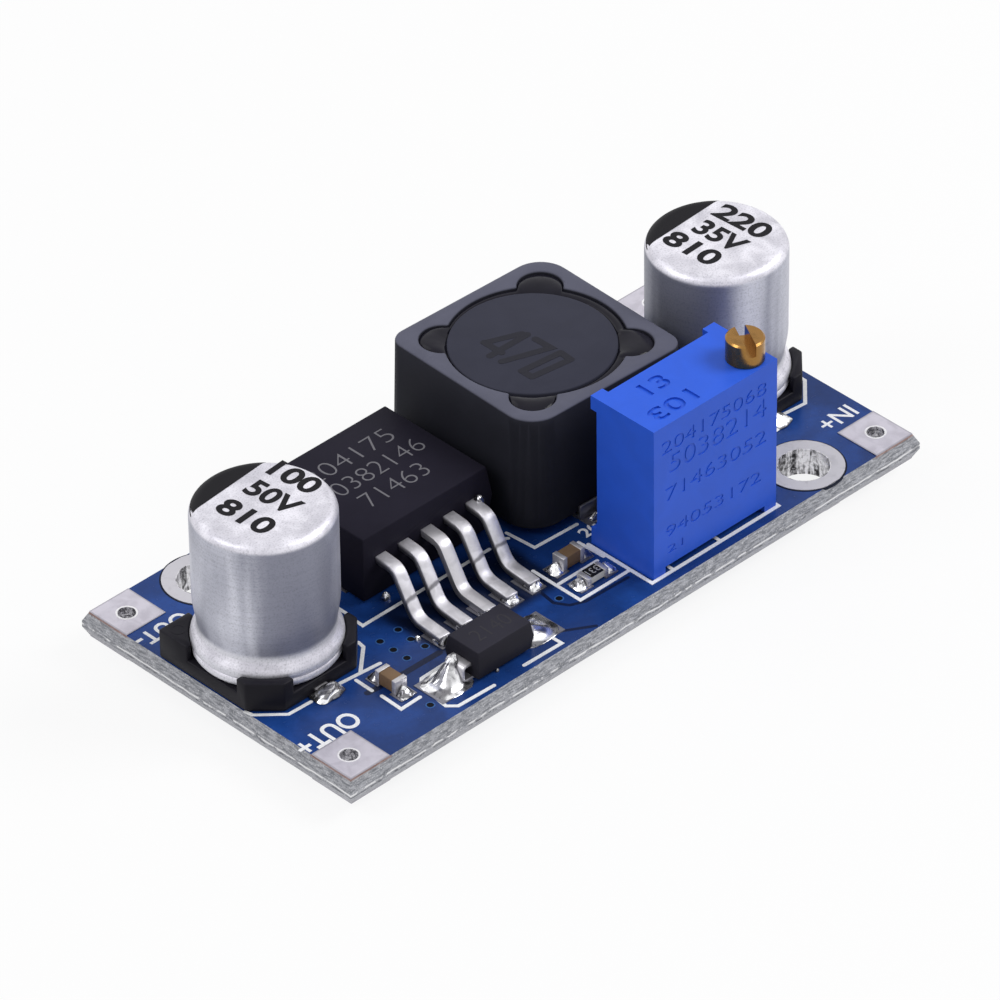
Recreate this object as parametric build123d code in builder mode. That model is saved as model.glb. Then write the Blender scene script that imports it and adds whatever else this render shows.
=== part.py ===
from build123d import *
from math import atan2, cos, degrees, radians, sin
import os

# Boost converter module on a small rectangular circuit board.
# +X runs from the output end to the input end, +Y from the near long edge to the far one, +Z up.
# The origin is the centre of the board's underside. All sizes are millimetres.

# Circuit board, snapped out of a panel along V-shaped score lines
BOARD_W = 21.2
BOARD_T = 1.6
SCORE_DEPTH = 0.6
SCORE_IN = 0.3
COPPER_T = 0.05

# Wire terminals, one in each corner of the board
PAD_X = 2.88
PAD_Y = 3.02
WIRE_HOLE_R = 0.55
WIRE_HOLE_FROM_END = 1.65
WIRE_HOLE_FROM_EDGE = 1.85
PAD_RING_GAP = 1.17

# Two mounting holes, diagonally opposite, one of them just past the trimmer
MOUNT_Y = 8.05
MOUNT_GAP = 1.42
MOUNT_HOLE_R = 1.5
MOUNT_RING_R = 2.3

# Surface-mount electrolytic capacitors: can, square plastic base, flat terminals
OUTPUT_CAP_GAP = 2.4
OUTPUT_CAP_Y = 0.5
INPUT_CAP_GAP = 1.1
INPUT_CAP_Y = 0.4
CAN_R = 4.03
CAN_TOP = 10.4
CAN_ROUND = 0.6
CAN_ROUND_MID = 0.18
CAN_SEAT = 1.4
BEAD_R = 4.2
BEAD_H = 0.8
BEAD_CURL = 0.3
NECK_R = 3.8
NECK_RISE = 1.25
SHOULDER_RISE = 1.65
CAP_BASE_S = 8.3
CAP_BASE_H = 1.85
CAP_BASE_LOW = 0.85
CAP_BASE_CHAMFER = 1.5
CAP_BASE_CORNER = 2.2
CAP_BASE_SEAT_R = 3.5
BEAD_CLEARANCE = 0.05
CAP_LEAD_W = 0.9
CAP_LEAD_T = 0.3
CAP_LEAD_OUT = 0.5
CAP_POST_W = 0.6
CAP_POST_Y = 1.55

# Shielded power inductor: square ferrite shield around a wound drum core
INDUCTOR_GAP = 0.75
INDUCTOR_Y = 3.25
INDUCTOR_YAW = -1.8
SHIELD_WALL = 0.9
SHIELD_TOP = 7.8
SHIELD_CORNER_R = 2.0
SHIELD_TIGHT_CORNER_R = 1.2
SHIELD_STANDOFF = 0.25
SHIELD_DRAFT = 1.5
SHIELD_GAP = 0.37
LOBE_R = 1.3
LOBE_OUT = 0.1
CORE_OFFSET_X = -0.3
CORE_TOP_R = 4.73
CORE_FLANGE_STEP = 0.02
CORE_POST_R = 2.4
CORE_TOP_T = 1.3
CORE_FLANGE_T = 1.2
CORE_BELOW_SHIELD = 0.05
WINDING_IN = 0.45
WINDING_TAIL_R = 0.3
WINDING_TAIL_IN = 0.4
TAIL_CLEARANCE = 0.05
TAIL_JOIN = 0.2
ADHESIVE_TOP_DROP = 0.35
ADHESIVE_T = 0.8
INDUCTOR_TERMINAL_W = 5.0
INDUCTOR_TERMINAL_T = 0.2
INDUCTOR_TERMINAL_INNER = 3.0
INDUCTOR_TERMINAL_LIP = 0.9

# Switching regulator: moulded body over a metal tab, five gull-wing leads at the near side
REGULATOR_X = -6.0
REGULATOR_Y = 4.1
REGULATOR_BODY_X = 9.8
REGULATOR_BODY_Y = 8.45
REGULATOR_TOP = 4.45
REGULATOR_PARTING = 2.6
REGULATOR_BODY_GAP = 0.1
REGULATOR_DRAFT = 7.0
TAB_W = 8.6
TAB_T = 1.27
TAB_INNER_Y = 1.3
TAB_END_Y = 9.55
TAB_CHAMFER = 0.8
LEAD_COUNT = 5
LEAD_PITCH = 1.7
LEAD_W = 0.8
LEAD_T = 0.45
LEAD_HEIGHT = 2.75
LEAD_ROOT_Y = 1.2
LEAD_KNEE_Y = -1.45
LEAD_HEEL_Y = -3.1
LEAD_TOE_Y = -5.4
LEAD_KNEE_R = 0.8
LEAD_HEEL_R = 1.1
LEAD_YAW = 4.0

# Rectifier diode: moulded body with two leads folded under it
DIODE_X = -9.1
DIODE_Y = -8.05
DIODE_BODY_X = 4.2
DIODE_BODY_Y = 2.6
DIODE_TOP = 2.05
DIODE_PARTING = 1.1
DIODE_DRAFT = 8.0
DIODE_LEAD_W = 1.4
DIODE_LEAD_T = 0.2
DIODE_LEAD_REACH = 2.6
DIODE_LEAD_FOOT = 1.1
DIODE_LEAD_BURIED = 0.8
DIODE_LEAD_BEND_R = 0.2

# Multi-turn trimmer: housing with its screw, carriage, resistive element and pins
TRIMMER_X0 = 2.0
TRIMMER_Y0 = -9.5
TRIMMER_L = 9.53
TRIMMER_W = 4.83
TRIMMER_H = 10.03
TRIMMER_STANDOFF = 0.45
TRIMMER_FOOT = 0.9
TRIMMER_BACK_BUMP = 0.45
TRIMMER_BUMP_H = 0.9
TRIMMER_FOOT_BUMP_H = 1.1
TRIMMER_END_WALL = 0.65
TRIMMER_SIDE_WALL = 0.5
TRIMMER_ROOF = 1.5
TRIMMER_ROOF_LIP = 0.5
SCREW_FROM_END = 1.18
SCREW_FROM_FRONT = 1.3
SCREW_HEAD_R = 1.1
SCREW_HEAD_H = 1.45
SCREW_HEAD_GAP = 0.05
SCREW_SLOT_W = 0.6
SCREW_SLOT_DEPTH = 0.76
SCREW_SLOT_ANGLE = 62.0
SCREW_HEAD_CHAMFER = 0.1
SCREW_NECK_R = 0.55
SCREW_COLLAR_R = 0.85
SCREW_COLLAR_T = 0.38
SCREW_THREAD_R = 0.7
SCREW_PIVOT_R = 0.4
SCREW_PIVOT_L = 0.5
SCREW_END_GAP = 0.1
RUNNING_CLEARANCE = 0.03
THREAD_WALL_CLEARANCE = 0.08
SEAL_T = 0.55
SEAL_CLEARANCE = 0.02
POTTING_RECESS = 0.15
POTTING_T = 1.25
SUBSTRATE_T = 0.6
SUBSTRATE_END_GAP = 0.45
SUBSTRATE_IN = 0.05
SUBSTRATE_FOOT = 0.7
TRACK_T = 0.05
TRACK_W = 1.5
TRACK_IN = 0.7
TRACK_GAP = 1.6
TRACK_MARGIN = 0.15
CARRIAGE_TRAVEL = 5.0
CARRIAGE_END_GAP = 0.05
CARRIAGE_SIDE_GAP = 0.1
WIPER_ROOM = 0.45
WIPER_T = 0.1
WIPER_W = 0.8
WIPER_GAP = 0.03
WIPER_SEAT_L = 1.1
WIPER_ARM_X = 0.9
WIPER_TIP_L = 0.6
PIN_R = 0.255
PIN_PITCH = 2.54
PIN_FROM_FRONT = 2.41
PIN_BELOW_BOARD = 0.9
PIN_HEIGHT = 1.35
PIN_HOLE_R = 0.4
PIN_SOLDER_R = 0.85
PIN_SOLDER_H = 0.6

# Chip parts
CHIP_L = 1.6
CHIP_W = 0.8
CHIP_CAP_L = 0.3
CHIP_CAP_T = 0.03
CERAMIC_CAP_H = 0.8
RESISTOR_H = 0.42
RESISTOR_COATING_T = 0.04
RESISTOR_COATING_L = 0.92
FILTER_CAP_X = -0.2
FILTER_CAP_Y = -5.1
RESISTOR_X = -0.2
RESISTOR_Y = -6.98
OUTPUT_CHIP_X = -14.55
OUTPUT_CHIP_Y = -6.05

# Copper lands and solder
SOLDER_TAPER = 24.0
LAND_MARGIN = 0.35
LEAD_LAND_L = 1.7
LEAD_LAND_SIDE = 0.15
TAB_LAND_Y0 = 1.6
TAB_LAND_OUT = 0.5
CHIP_LAND_L = 0.95
DIODE_LAND_L = 2.2
CAP_LAND_L = 3.0
CAP_LAND_OUT = 0.45
INDUCTOR_LAND_OUT = 0.6
TOE_SOLDER_L = 1.1
TOE_SOLDER_H = 0.42
DIODE_SOLDER_L = 1.5
DIODE_SOLDER_H = 0.85
CAP_SOLDER_L = 0.95
CAP_SOLDER_H = 0.5
CHIP_SOLDER_L = 0.62
CHIP_SOLDER_H = 0.3
INDUCTOR_SOLDER_H = 0.6
TAB_SOLDER_L = 0.7
TAB_SOLDER_H = 0.7

# Places worked out from the sizes above
MOUNT_X = TRIMMER_X0 + TRIMMER_L + MOUNT_GAP + MOUNT_RING_R
FACE_L = 2 * (MOUNT_X + MOUNT_RING_R + PAD_RING_GAP + PAD_X)
FACE_W = BOARD_W - 2 * SCORE_IN
BOARD_L = FACE_L + 2 * SCORE_IN
SCORE_TAPER = degrees(atan2(SCORE_IN, SCORE_DEPTH))
SEAT = BOARD_T + COPPER_T
FACE_END_X = FACE_L / 2
FACE_END_Y = FACE_W / 2
MOUNT_CENTRES = [(MOUNT_X, -MOUNT_Y), (-MOUNT_X, MOUNT_Y)]
WIRE_HOLE_X = BOARD_L / 2 - WIRE_HOLE_FROM_END
WIRE_HOLE_Y = BOARD_W / 2 - WIRE_HOLE_FROM_EDGE
WIRE_HOLE_CENTRES = [(side_x * WIRE_HOLE_X, side_y * WIRE_HOLE_Y) for side_x in (1, -1) for side_y in (1, -1)]
CORE_FLANGE_R = CORE_TOP_R + CORE_FLANGE_STEP
SHIELD_HOLE_R = CORE_TOP_R + SHIELD_GAP
SHIELD_S = 2 * (SHIELD_HOLE_R + SHIELD_WALL)
WINDING_R = CORE_FLANGE_R - WINDING_IN
WINDING_TAIL_Y = WINDING_R - WINDING_TAIL_IN
INDUCTOR_X = REGULATOR_X + REGULATOR_BODY_X / 2 + INDUCTOR_GAP + SHIELD_S / 2
INPUT_CAP_X = INDUCTOR_X + SHIELD_S / 2 + INPUT_CAP_GAP + CAP_BASE_S / 2
OUTPUT_CAP_X = REGULATOR_X - REGULATOR_BODY_X / 2 - OUTPUT_CAP_GAP - CAP_BASE_S / 2
LEAD_XS = [REGULATOR_X + LEAD_PITCH * (index - (LEAD_COUNT - 1) / 2) for index in range(LEAD_COUNT)]
TOE_XS = [x - sin(radians(LEAD_YAW)) * (LEAD_ROOT_Y - LEAD_TOE_Y) for x in LEAD_XS]
TRIMMER_CX = TRIMMER_X0 + TRIMMER_L / 2
TRIMMER_TOP = BOARD_T + TRIMMER_H
TRIMMER_BODY_W = TRIMMER_W - TRIMMER_BACK_BUMP
TRIMMER_BODY_CY = TRIMMER_Y0 + TRIMMER_BODY_W / 2
TRIMMER_FLOOR = BOARD_T + TRIMMER_STANDOFF
CAVITY_X0 = TRIMMER_X0 + TRIMMER_END_WALL
CAVITY_Y0 = TRIMMER_Y0 + TRIMMER_SIDE_WALL
CAVITY_Y1 = TRIMMER_Y0 + TRIMMER_BODY_W - TRIMMER_SIDE_WALL
CAVITY_TOP = TRIMMER_TOP - TRIMMER_ROOF
SCREW_X = TRIMMER_X0 + TRIMMER_L - SCREW_FROM_END
SCREW_Y = TRIMMER_Y0 + SCREW_FROM_FRONT
POTTING_Z0 = TRIMMER_FLOOR + POTTING_RECESS
POTTING_TOP = POTTING_Z0 + POTTING_T
PIN_XS = [TRIMMER_CX + PIN_PITCH * step for step in (-1, 0, 1)]
PIN_Y = TRIMMER_Y0 + PIN_FROM_FRONT
SUBSTRATE_FACE_Y = CAVITY_Y1 - SUBSTRATE_T
SUBSTRATE_X0 = CAVITY_X0 + SUBSTRATE_IN
SUBSTRATE_L = SCREW_X - SUBSTRATE_END_GAP - SUBSTRATE_X0
SUBSTRATE_Z0 = POTTING_TOP - SUBSTRATE_FOOT
CARRIAGE_Z = (POTTING_TOP + CAVITY_TOP) / 2
CARRIAGE_H = CAVITY_TOP - POTTING_TOP - CARRIAGE_TRAVEL - 2 * CARRIAGE_END_GAP
CARRIAGE_L = SCREW_X - CAVITY_X0 - CARRIAGE_SIDE_GAP
TRACK_H = CARRIAGE_TRAVEL + WIPER_W + 2 * TRACK_MARGIN
WINDING_Z0 = SEAT + INDUCTOR_TERMINAL_T + CORE_FLANGE_T
WINDING_Z1 = BOARD_T + SHIELD_TOP - CORE_BELOW_SHIELD - CORE_TOP_T
INDUCTOR_SIDES = (1, -1)

os.makedirs("parts", exist_ok=True)


def level(height, x=0.0, y=0.0):
    """Plane parallel to the board with its origin at the given point."""
    return Plane((x, y, height))


def side_plane(x):
    """Plane across the board at x: its own x runs along +Y and its own y along +Z."""
    return Plane((x, 0, 0), x_dir=(0, 1, 0), z_dir=(1, 0, 0))


def inductor_level(height):
    """Plane parallel to the board at the inductor's centre, turned as the inductor sits on its lands."""
    return level(height, INDUCTOR_X, INDUCTOR_Y).rotated((0, 0, INDUCTOR_YAW))


def front_plane(x, y):
    """Plane along the board through (x, y): its own x runs along +X and its own y along +Z."""
    return Plane((x, y, 0), x_dir=(1, 0, 0), z_dir=(0, -1, 0))


# Laminate: a web left by the score lines, tapering to the two faces, with every hole drilled
with BuildPart() as circuit_board:
    with BuildSketch(level(SCORE_DEPTH)):
        Rectangle(BOARD_L, BOARD_W)
    extrude(amount=BOARD_T - 2 * SCORE_DEPTH)
    with BuildSketch(level(BOARD_T - SCORE_DEPTH)):
        Rectangle(BOARD_L, BOARD_W)
    extrude(amount=SCORE_DEPTH, taper=SCORE_TAPER)
    with BuildSketch(Plane((0, 0, SCORE_DEPTH), z_dir=(0, 0, -1))):
        Rectangle(BOARD_L, BOARD_W)
    extrude(amount=SCORE_DEPTH, taper=SCORE_TAPER)
    with BuildSketch(level(0)):
        with Locations(*MOUNT_CENTRES):
            Circle(MOUNT_HOLE_R)
        with Locations(*WIRE_HOLE_CENTRES):
            Circle(WIRE_HOLE_R)
        with Locations(*[(x, PIN_Y) for x in PIN_XS]):
            Circle(PIN_HOLE_R)
    extrude(amount=BOARD_T, mode=Mode.SUBTRACT)
circuit_board.part.label = "circuit_board"
export_step(circuit_board.part, "parts/circuit_board.step")

# Wire terminals: a square pad on each face around the wire hole, whose plating is too thin to model
for name, side_x, side_y in (
    ("input_plus_pad", 1, -1),
    ("input_minus_pad", 1, 1),
    ("output_plus_pad", -1, -1),
    ("output_minus_pad", -1, 1),
):
    hole_x = side_x * WIRE_HOLE_X
    hole_y = side_y * WIRE_HOLE_Y
    pad_offset_x = side_x * (FACE_END_X - PAD_X / 2) - hole_x
    pad_offset_y = side_y * (FACE_END_Y - PAD_Y / 2) - hole_y
    with BuildPart() as terminal_pad:
        for pad_z in (BOARD_T, -COPPER_T):
            with BuildSketch(level(pad_z, hole_x, hole_y)):
                with Locations((pad_offset_x, pad_offset_y)):
                    Rectangle(PAD_X, PAD_Y)
                Circle(WIRE_HOLE_R, mode=Mode.SUBTRACT)
            extrude(amount=COPPER_T)
    terminal_pad.part.label = name
    export_step(terminal_pad.part, f"parts/{name}.step")

# Mounting-hole rings: an annular land on each face, cut off where it meets the score line
for name, (hole_x, hole_y) in zip(("input_mounting_ring", "output_mounting_ring"), MOUNT_CENTRES):
    with BuildPart() as mounting_ring:
        for ring_z in (BOARD_T, -COPPER_T):
            with BuildSketch(level(ring_z)):
                with Locations((hole_x, hole_y)):
                    Circle(MOUNT_RING_R)
                Rectangle(FACE_L, FACE_W, mode=Mode.INTERSECT)
                with Locations((hole_x, hole_y)):
                    Circle(MOUNT_HOLE_R, mode=Mode.SUBTRACT)
            extrude(amount=COPPER_T)
    mounting_ring.part.label = name
    export_step(mounting_ring.part, f"parts/{name}.step")


# Electrolytic capacitors
for prefix, cap_x, cap_y in (
    ("output_capacitor", OUTPUT_CAP_X, OUTPUT_CAP_Y),
    ("input_capacitor", INPUT_CAP_X, INPUT_CAP_Y),
):
    cap_lead_end = CAP_BASE_S / 2 + CAP_LEAD_OUT
    cap_lead_start = CAP_POST_Y - CAP_LEAD_T / 2
    cap_lead_mid = (cap_lead_end + cap_lead_start) / 2
    cap_sides = (1, -1)

    # Flat terminals that leave the base at two sides, each turned up through it to the can
    with BuildPart() as cap_terminals:
        with BuildSketch(level(SEAT, cap_x, cap_y)):
            with Locations(*[(0, side * cap_lead_mid) for side in cap_sides]):
                Rectangle(CAP_LEAD_W, cap_lead_end - cap_lead_start)
        extrude(amount=CAP_LEAD_T)
        with BuildSketch(level(SEAT, cap_x, cap_y)):
            with Locations(*[(0, side * CAP_POST_Y) for side in cap_sides]):
                Rectangle(CAP_POST_W, CAP_LEAD_T)
        extrude(amount=CAN_SEAT)
    cap_terminals.part.label = f"{prefix}_terminals"
    export_step(cap_terminals.part, f"parts/{prefix}_terminals.step")

    # Square base, two corners cut off at the positive side, raised corners around the can's bead
    with BuildPart() as cap_base:
        with BuildSketch(level(SEAT, cap_x, cap_y)) as base_outline:
            Rectangle(CAP_BASE_S, CAP_BASE_S)
            chamfer(base_outline.vertices().group_by(Axis.Y)[0], length=CAP_BASE_CHAMFER)
        extrude(amount=CAP_BASE_H)
        with BuildSketch(level(SEAT + CAP_BASE_LOW, cap_x, cap_y)):
            Rectangle(CAP_BASE_S, CAP_BASE_S - 2 * CAP_BASE_CORNER)
            Rectangle(CAP_BASE_S - 2 * CAP_BASE_CORNER, CAP_BASE_S)
            Circle(BEAD_R + BEAD_CLEARANCE)
            Circle(CAP_BASE_SEAT_R, mode=Mode.SUBTRACT)
        extrude(amount=CAP_BASE_H, mode=Mode.SUBTRACT)
        with BuildSketch(level(SEAT + CAN_SEAT, cap_x, cap_y)):
            Circle(CAP_BASE_SEAT_R)
        extrude(amount=CAP_BASE_H, mode=Mode.SUBTRACT)
        add(cap_terminals.part, mode=Mode.SUBTRACT)
    cap_base.part.label = f"{prefix}_base"
    export_step(cap_base.part, f"parts/{prefix}_base.step")

    # Sealed can: rolled bead at the foot, neck groove above it and a rounded top edge
    can_z0 = SEAT + CAN_SEAT
    can_top = BOARD_T + CAN_TOP
    with BuildPart() as can:
        with BuildSketch(front_plane(cap_x, cap_y)):
            with BuildLine():
                Polyline(
                    (0, can_z0),
                    (BEAD_R - BEAD_CURL, can_z0),
                    (BEAD_R, can_z0 + BEAD_CURL),
                    (BEAD_R, can_z0 + BEAD_H),
                    (NECK_R, can_z0 + NECK_RISE),
                    (CAN_R, can_z0 + SHOULDER_RISE),
                    (CAN_R, can_top - CAN_ROUND),
                    (CAN_R - CAN_ROUND_MID, can_top - CAN_ROUND_MID),
                    (CAN_R - CAN_ROUND, can_top),
                    (0, can_top),
                    close=True,
                )
            make_face()
        revolve(axis=Axis((cap_x, cap_y, 0), (0, 0, 1)))
    can.part.label = f"{prefix}_can"
    export_step(can.part, f"parts/{prefix}_can.step")


# Inductor terminals: plates under the core, turned up at the outside of the shield
with BuildPart() as inductor_terminals:
    terminal_outer = SHIELD_S / 2 + INDUCTOR_TERMINAL_T
    for side in INDUCTOR_SIDES:
        terminal_mid = side * (INDUCTOR_TERMINAL_INNER + terminal_outer) / 2
        with BuildSketch(inductor_level(SEAT)):
            with Locations((0, terminal_mid)):
                Rectangle(INDUCTOR_TERMINAL_W, terminal_outer - INDUCTOR_TERMINAL_INNER)
        extrude(amount=INDUCTOR_TERMINAL_T)
        with BuildSketch(inductor_level(SEAT)):
            with Locations((0, side * (SHIELD_S + INDUCTOR_TERMINAL_T) / 2)):
                Rectangle(INDUCTOR_TERMINAL_W, INDUCTOR_TERMINAL_T)
        extrude(amount=INDUCTOR_TERMINAL_LIP)
inductor_terminals.part.label = "inductor_terminals"
export_step(inductor_terminals.part, "parts/inductor_terminals.step")

# Ferrite shield: drafted square ring with two tighter corners and a glue pocket towards each corner
with BuildPart() as inductor_shield:
    shield_z0 = SEAT + INDUCTOR_TERMINAL_T + SHIELD_STANDOFF
    across_tight_corners = Axis((0, 0, 0), (1, -1, 0))
    with BuildSketch(inductor_level(shield_z0)) as shield_outline:
        Rectangle(SHIELD_S, SHIELD_S)
        fillet(shield_outline.vertices().sort_by(across_tight_corners)[1:3], radius=SHIELD_CORNER_R)
        tight_corners = shield_outline.vertices().sort_by(across_tight_corners)
        fillet([tight_corners[0], tight_corners[-1]], radius=SHIELD_TIGHT_CORNER_R)
    extrude(amount=BOARD_T + SHIELD_TOP - shield_z0, taper=SHIELD_DRAFT)
    with BuildSketch(inductor_level(shield_z0)) as shield_bore:
        Circle(SHIELD_HOLE_R)
        with PolarLocations(SHIELD_HOLE_R + LOBE_OUT, 4, start_angle=45):
            Circle(LOBE_R)
    extrude(amount=SHIELD_TOP, mode=Mode.SUBTRACT)
inductor_shield.part.label = "inductor_shield"
export_step(inductor_shield.part, "parts/inductor_shield.step")

# Drum core: post between two flanges, the lower one notched at its rim for the winding's tails
core_x = INDUCTOR_X + CORE_OFFSET_X
core_z0 = SEAT + INDUCTOR_TERMINAL_T
core_top = BOARD_T + SHIELD_TOP - CORE_BELOW_SHIELD
tail_notch_y = WINDING_TAIL_Y - WINDING_TAIL_R - TAIL_CLEARANCE
with BuildPart() as inductor_core:
    with BuildSketch(front_plane(core_x, INDUCTOR_Y)):
        with BuildLine():
            Polyline(
                (0, core_z0),
                (CORE_FLANGE_R, core_z0),
                (CORE_FLANGE_R, WINDING_Z0),
                (CORE_POST_R, WINDING_Z0),
                (CORE_POST_R, WINDING_Z1),
                (CORE_TOP_R, WINDING_Z1),
                (CORE_TOP_R, core_top),
                (0, core_top),
                close=True,
            )
        make_face()
    revolve(axis=Axis((core_x, INDUCTOR_Y, 0), (0, 0, 1)))
    with BuildSketch(level(core_z0, core_x, INDUCTOR_Y)):
        with Locations(*[(0, side * (tail_notch_y + CORE_FLANGE_R) / 2) for side in INDUCTOR_SIDES]):
            Rectangle(2 * (WINDING_TAIL_R + TAIL_CLEARANCE), CORE_FLANGE_R - tail_notch_y)
    extrude(amount=CORE_FLANGE_T, mode=Mode.SUBTRACT)
inductor_core.part.label = "inductor_core"
export_step(inductor_core.part, "parts/inductor_core.step")

# Winding: a full spool between the flanges, with a tail down to each terminal
with BuildPart() as inductor_winding:
    with BuildSketch(level(WINDING_Z0, core_x, INDUCTOR_Y)):
        Circle(WINDING_R)
        Circle(CORE_POST_R, mode=Mode.SUBTRACT)
    extrude(amount=WINDING_Z1 - WINDING_Z0)
    with BuildSketch(level(core_z0, core_x, INDUCTOR_Y)):
        with Locations(*[(0, side * WINDING_TAIL_Y) for side in INDUCTOR_SIDES]):
            Circle(WINDING_TAIL_R)
    extrude(amount=CORE_FLANGE_T + TAIL_JOIN)
inductor_winding.part.label = "inductor_winding"
export_step(inductor_winding.part, "parts/inductor_winding.step")

# Adhesive: fills the gap between the core's top flange and the shield, and the four pockets
with BuildPart() as inductor_adhesive:
    adhesive_top = BOARD_T + SHIELD_TOP - ADHESIVE_TOP_DROP
    with BuildSketch(inductor_level(adhesive_top)):
        add(shield_bore.sketch_local)
    extrude(amount=-ADHESIVE_T)
    with BuildSketch(level(adhesive_top, core_x, INDUCTOR_Y)):
        Circle(CORE_TOP_R)
    extrude(amount=-ADHESIVE_T, mode=Mode.SUBTRACT)
inductor_adhesive.part.label = "inductor_adhesive"
export_step(inductor_adhesive.part, "parts/inductor_adhesive.step")


# Regulator
lead_seat_z = SEAT + LEAD_T / 2
lead_z = BOARD_T + LEAD_HEIGHT


def lead_face(x, *inner_points):
    """Side outline of one gull-wing lead, from its end in the body to its toe on the land."""
    away = (sin(radians(LEAD_YAW)), cos(radians(LEAD_YAW)), 0)
    root = (x - LEAD_ROOT_Y * away[0], LEAD_ROOT_Y - LEAD_ROOT_Y * away[1], 0)
    with BuildSketch(Plane(root, x_dir=away, z_dir=(away[1], -away[0], 0))) as outline:
        with BuildLine():
            corners = [
                *inner_points,
                (LEAD_KNEE_Y, lead_z),
                (LEAD_HEEL_Y, lead_seat_z),
                (LEAD_TOE_Y, lead_seat_z),
            ]
            radii = [LEAD_KNEE_R] * (len(corners) - 3) + [LEAD_HEEL_R]
            FilletPolyline(*corners, radius=radii)
        trace(line_width=LEAD_T)
    return outline.sketch


# Tab under the body, standing out at the far side, with the middle lead joined to it
with BuildPart() as regulator_tab:
    with BuildSketch(level(SEAT, REGULATOR_X, (TAB_INNER_Y + TAB_END_Y) / 2)) as tab_outline:
        Rectangle(TAB_W, TAB_END_Y - TAB_INNER_Y)
        chamfer(tab_outline.vertices().group_by(Axis.Y)[-1], length=TAB_CHAMFER)
    extrude(amount=TAB_T)
    web_foot = (TAB_INNER_Y + LEAD_T, SEAT + TAB_T / 2)
    web_top = (LEAD_ROOT_Y, lead_z)
    extrude(lead_face(REGULATOR_X, web_foot, web_top), amount=LEAD_W / 2, both=True)
regulator_tab.part.label = "regulator_tab"
export_step(regulator_tab.part, "parts/regulator_tab.step")

with BuildPart() as regulator_leads:
    for lead_x in LEAD_XS:
        if lead_x != REGULATOR_X:
            extrude(lead_face(lead_x, (LEAD_ROOT_Y, lead_z)), amount=LEAD_W / 2, both=True)
regulator_leads.part.label = "regulator_leads"
export_step(regulator_leads.part, "parts/regulator_leads.step")

# Moulded body, drafted up and down from its parting line
with BuildPart() as regulator_body:
    with BuildSketch(level(BOARD_T + REGULATOR_PARTING, REGULATOR_X, REGULATOR_Y)):
        Rectangle(REGULATOR_BODY_X, REGULATOR_BODY_Y)
    extrude(amount=REGULATOR_TOP - REGULATOR_PARTING, taper=REGULATOR_DRAFT)
    body_underside = Plane((REGULATOR_X, REGULATOR_Y, BOARD_T + REGULATOR_PARTING), z_dir=(0, 0, -1))
    with BuildSketch(body_underside):
        Rectangle(REGULATOR_BODY_X, REGULATOR_BODY_Y)
    extrude(amount=REGULATOR_PARTING - COPPER_T - REGULATOR_BODY_GAP, taper=REGULATOR_DRAFT)
    add(regulator_tab.part, mode=Mode.SUBTRACT)
    add(regulator_leads.part, mode=Mode.SUBTRACT)
regulator_body.part.label = "regulator_body"
export_step(regulator_body.part, "parts/regulator_body.step")


# Diode leads: out of the body's ends at the parting line, down and folded under
with BuildPart() as diode_leads:
    diode_parting_z = BOARD_T + DIODE_PARTING
    diode_foot_z = SEAT + DIODE_LEAD_T / 2
    for side in (1, -1):
        with BuildSketch(front_plane(DIODE_X, DIODE_Y)):
            with BuildLine():
                FilletPolyline(
                    (side * (DIODE_BODY_X / 2 - DIODE_LEAD_BURIED), diode_parting_z),
                    (side * DIODE_LEAD_REACH, diode_parting_z),
                    (side * DIODE_LEAD_REACH, diode_foot_z),
                    (side * (DIODE_LEAD_REACH - DIODE_LEAD_FOOT), diode_foot_z),
                    radius=DIODE_LEAD_BEND_R,
                )
            trace(line_width=DIODE_LEAD_T)
        extrude(amount=DIODE_LEAD_W / 2, both=True)
diode_leads.part.label = "diode_leads"
export_step(diode_leads.part, "parts/diode_leads.step")

with BuildPart() as diode_body:
    diode_underside_z = SEAT + DIODE_LEAD_T
    with BuildSketch(level(diode_parting_z, DIODE_X, DIODE_Y)):
        Rectangle(DIODE_BODY_X, DIODE_BODY_Y)
    extrude(amount=DIODE_TOP - DIODE_PARTING, taper=DIODE_DRAFT)
    with BuildSketch(Plane((DIODE_X, DIODE_Y, diode_parting_z), z_dir=(0, 0, -1))):
        Rectangle(DIODE_BODY_X, DIODE_BODY_Y)
    extrude(amount=diode_parting_z - diode_underside_z, taper=DIODE_DRAFT)
    add(diode_leads.part, mode=Mode.SUBTRACT)
diode_body.part.label = "diode_body"
export_step(diode_body.part, "parts/diode_body.step")


# Trimmer pins: straight through the board, then bent square to the foot of the element
with BuildPart() as trimmer_pins:
    for pin_x in PIN_XS:
        with BuildLine(side_plane(pin_x)) as pin_path:
            Polyline(
                (PIN_Y, -PIN_BELOW_BOARD),
                (PIN_Y, BOARD_T + PIN_HEIGHT),
                (SUBSTRATE_FACE_Y, BOARD_T + PIN_HEIGHT),
            )
        with BuildSketch(level(-PIN_BELOW_BOARD, pin_x, PIN_Y)):
            Circle(PIN_R)
        sweep(path=pin_path.line, transition=Transition.RIGHT)
trimmer_pins.part.label = "trimmer_pins"
export_step(trimmer_pins.part, "parts/trimmer_pins.step")

# Ceramic substrate at the back of the cavity, its foot held in the potting
with BuildPart() as trimmer_substrate:
    substrate_cx = SUBSTRATE_X0 + SUBSTRATE_L / 2
    substrate_cy = SUBSTRATE_FACE_Y + SUBSTRATE_T / 2
    with BuildSketch(level(SUBSTRATE_Z0, substrate_cx, substrate_cy)):
        Rectangle(SUBSTRATE_L, SUBSTRATE_T)
    extrude(amount=CAVITY_TOP - SUBSTRATE_Z0)
trimmer_substrate.part.label = "trimmer_substrate"
export_step(trimmer_substrate.part, "parts/trimmer_substrate.step")

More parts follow.
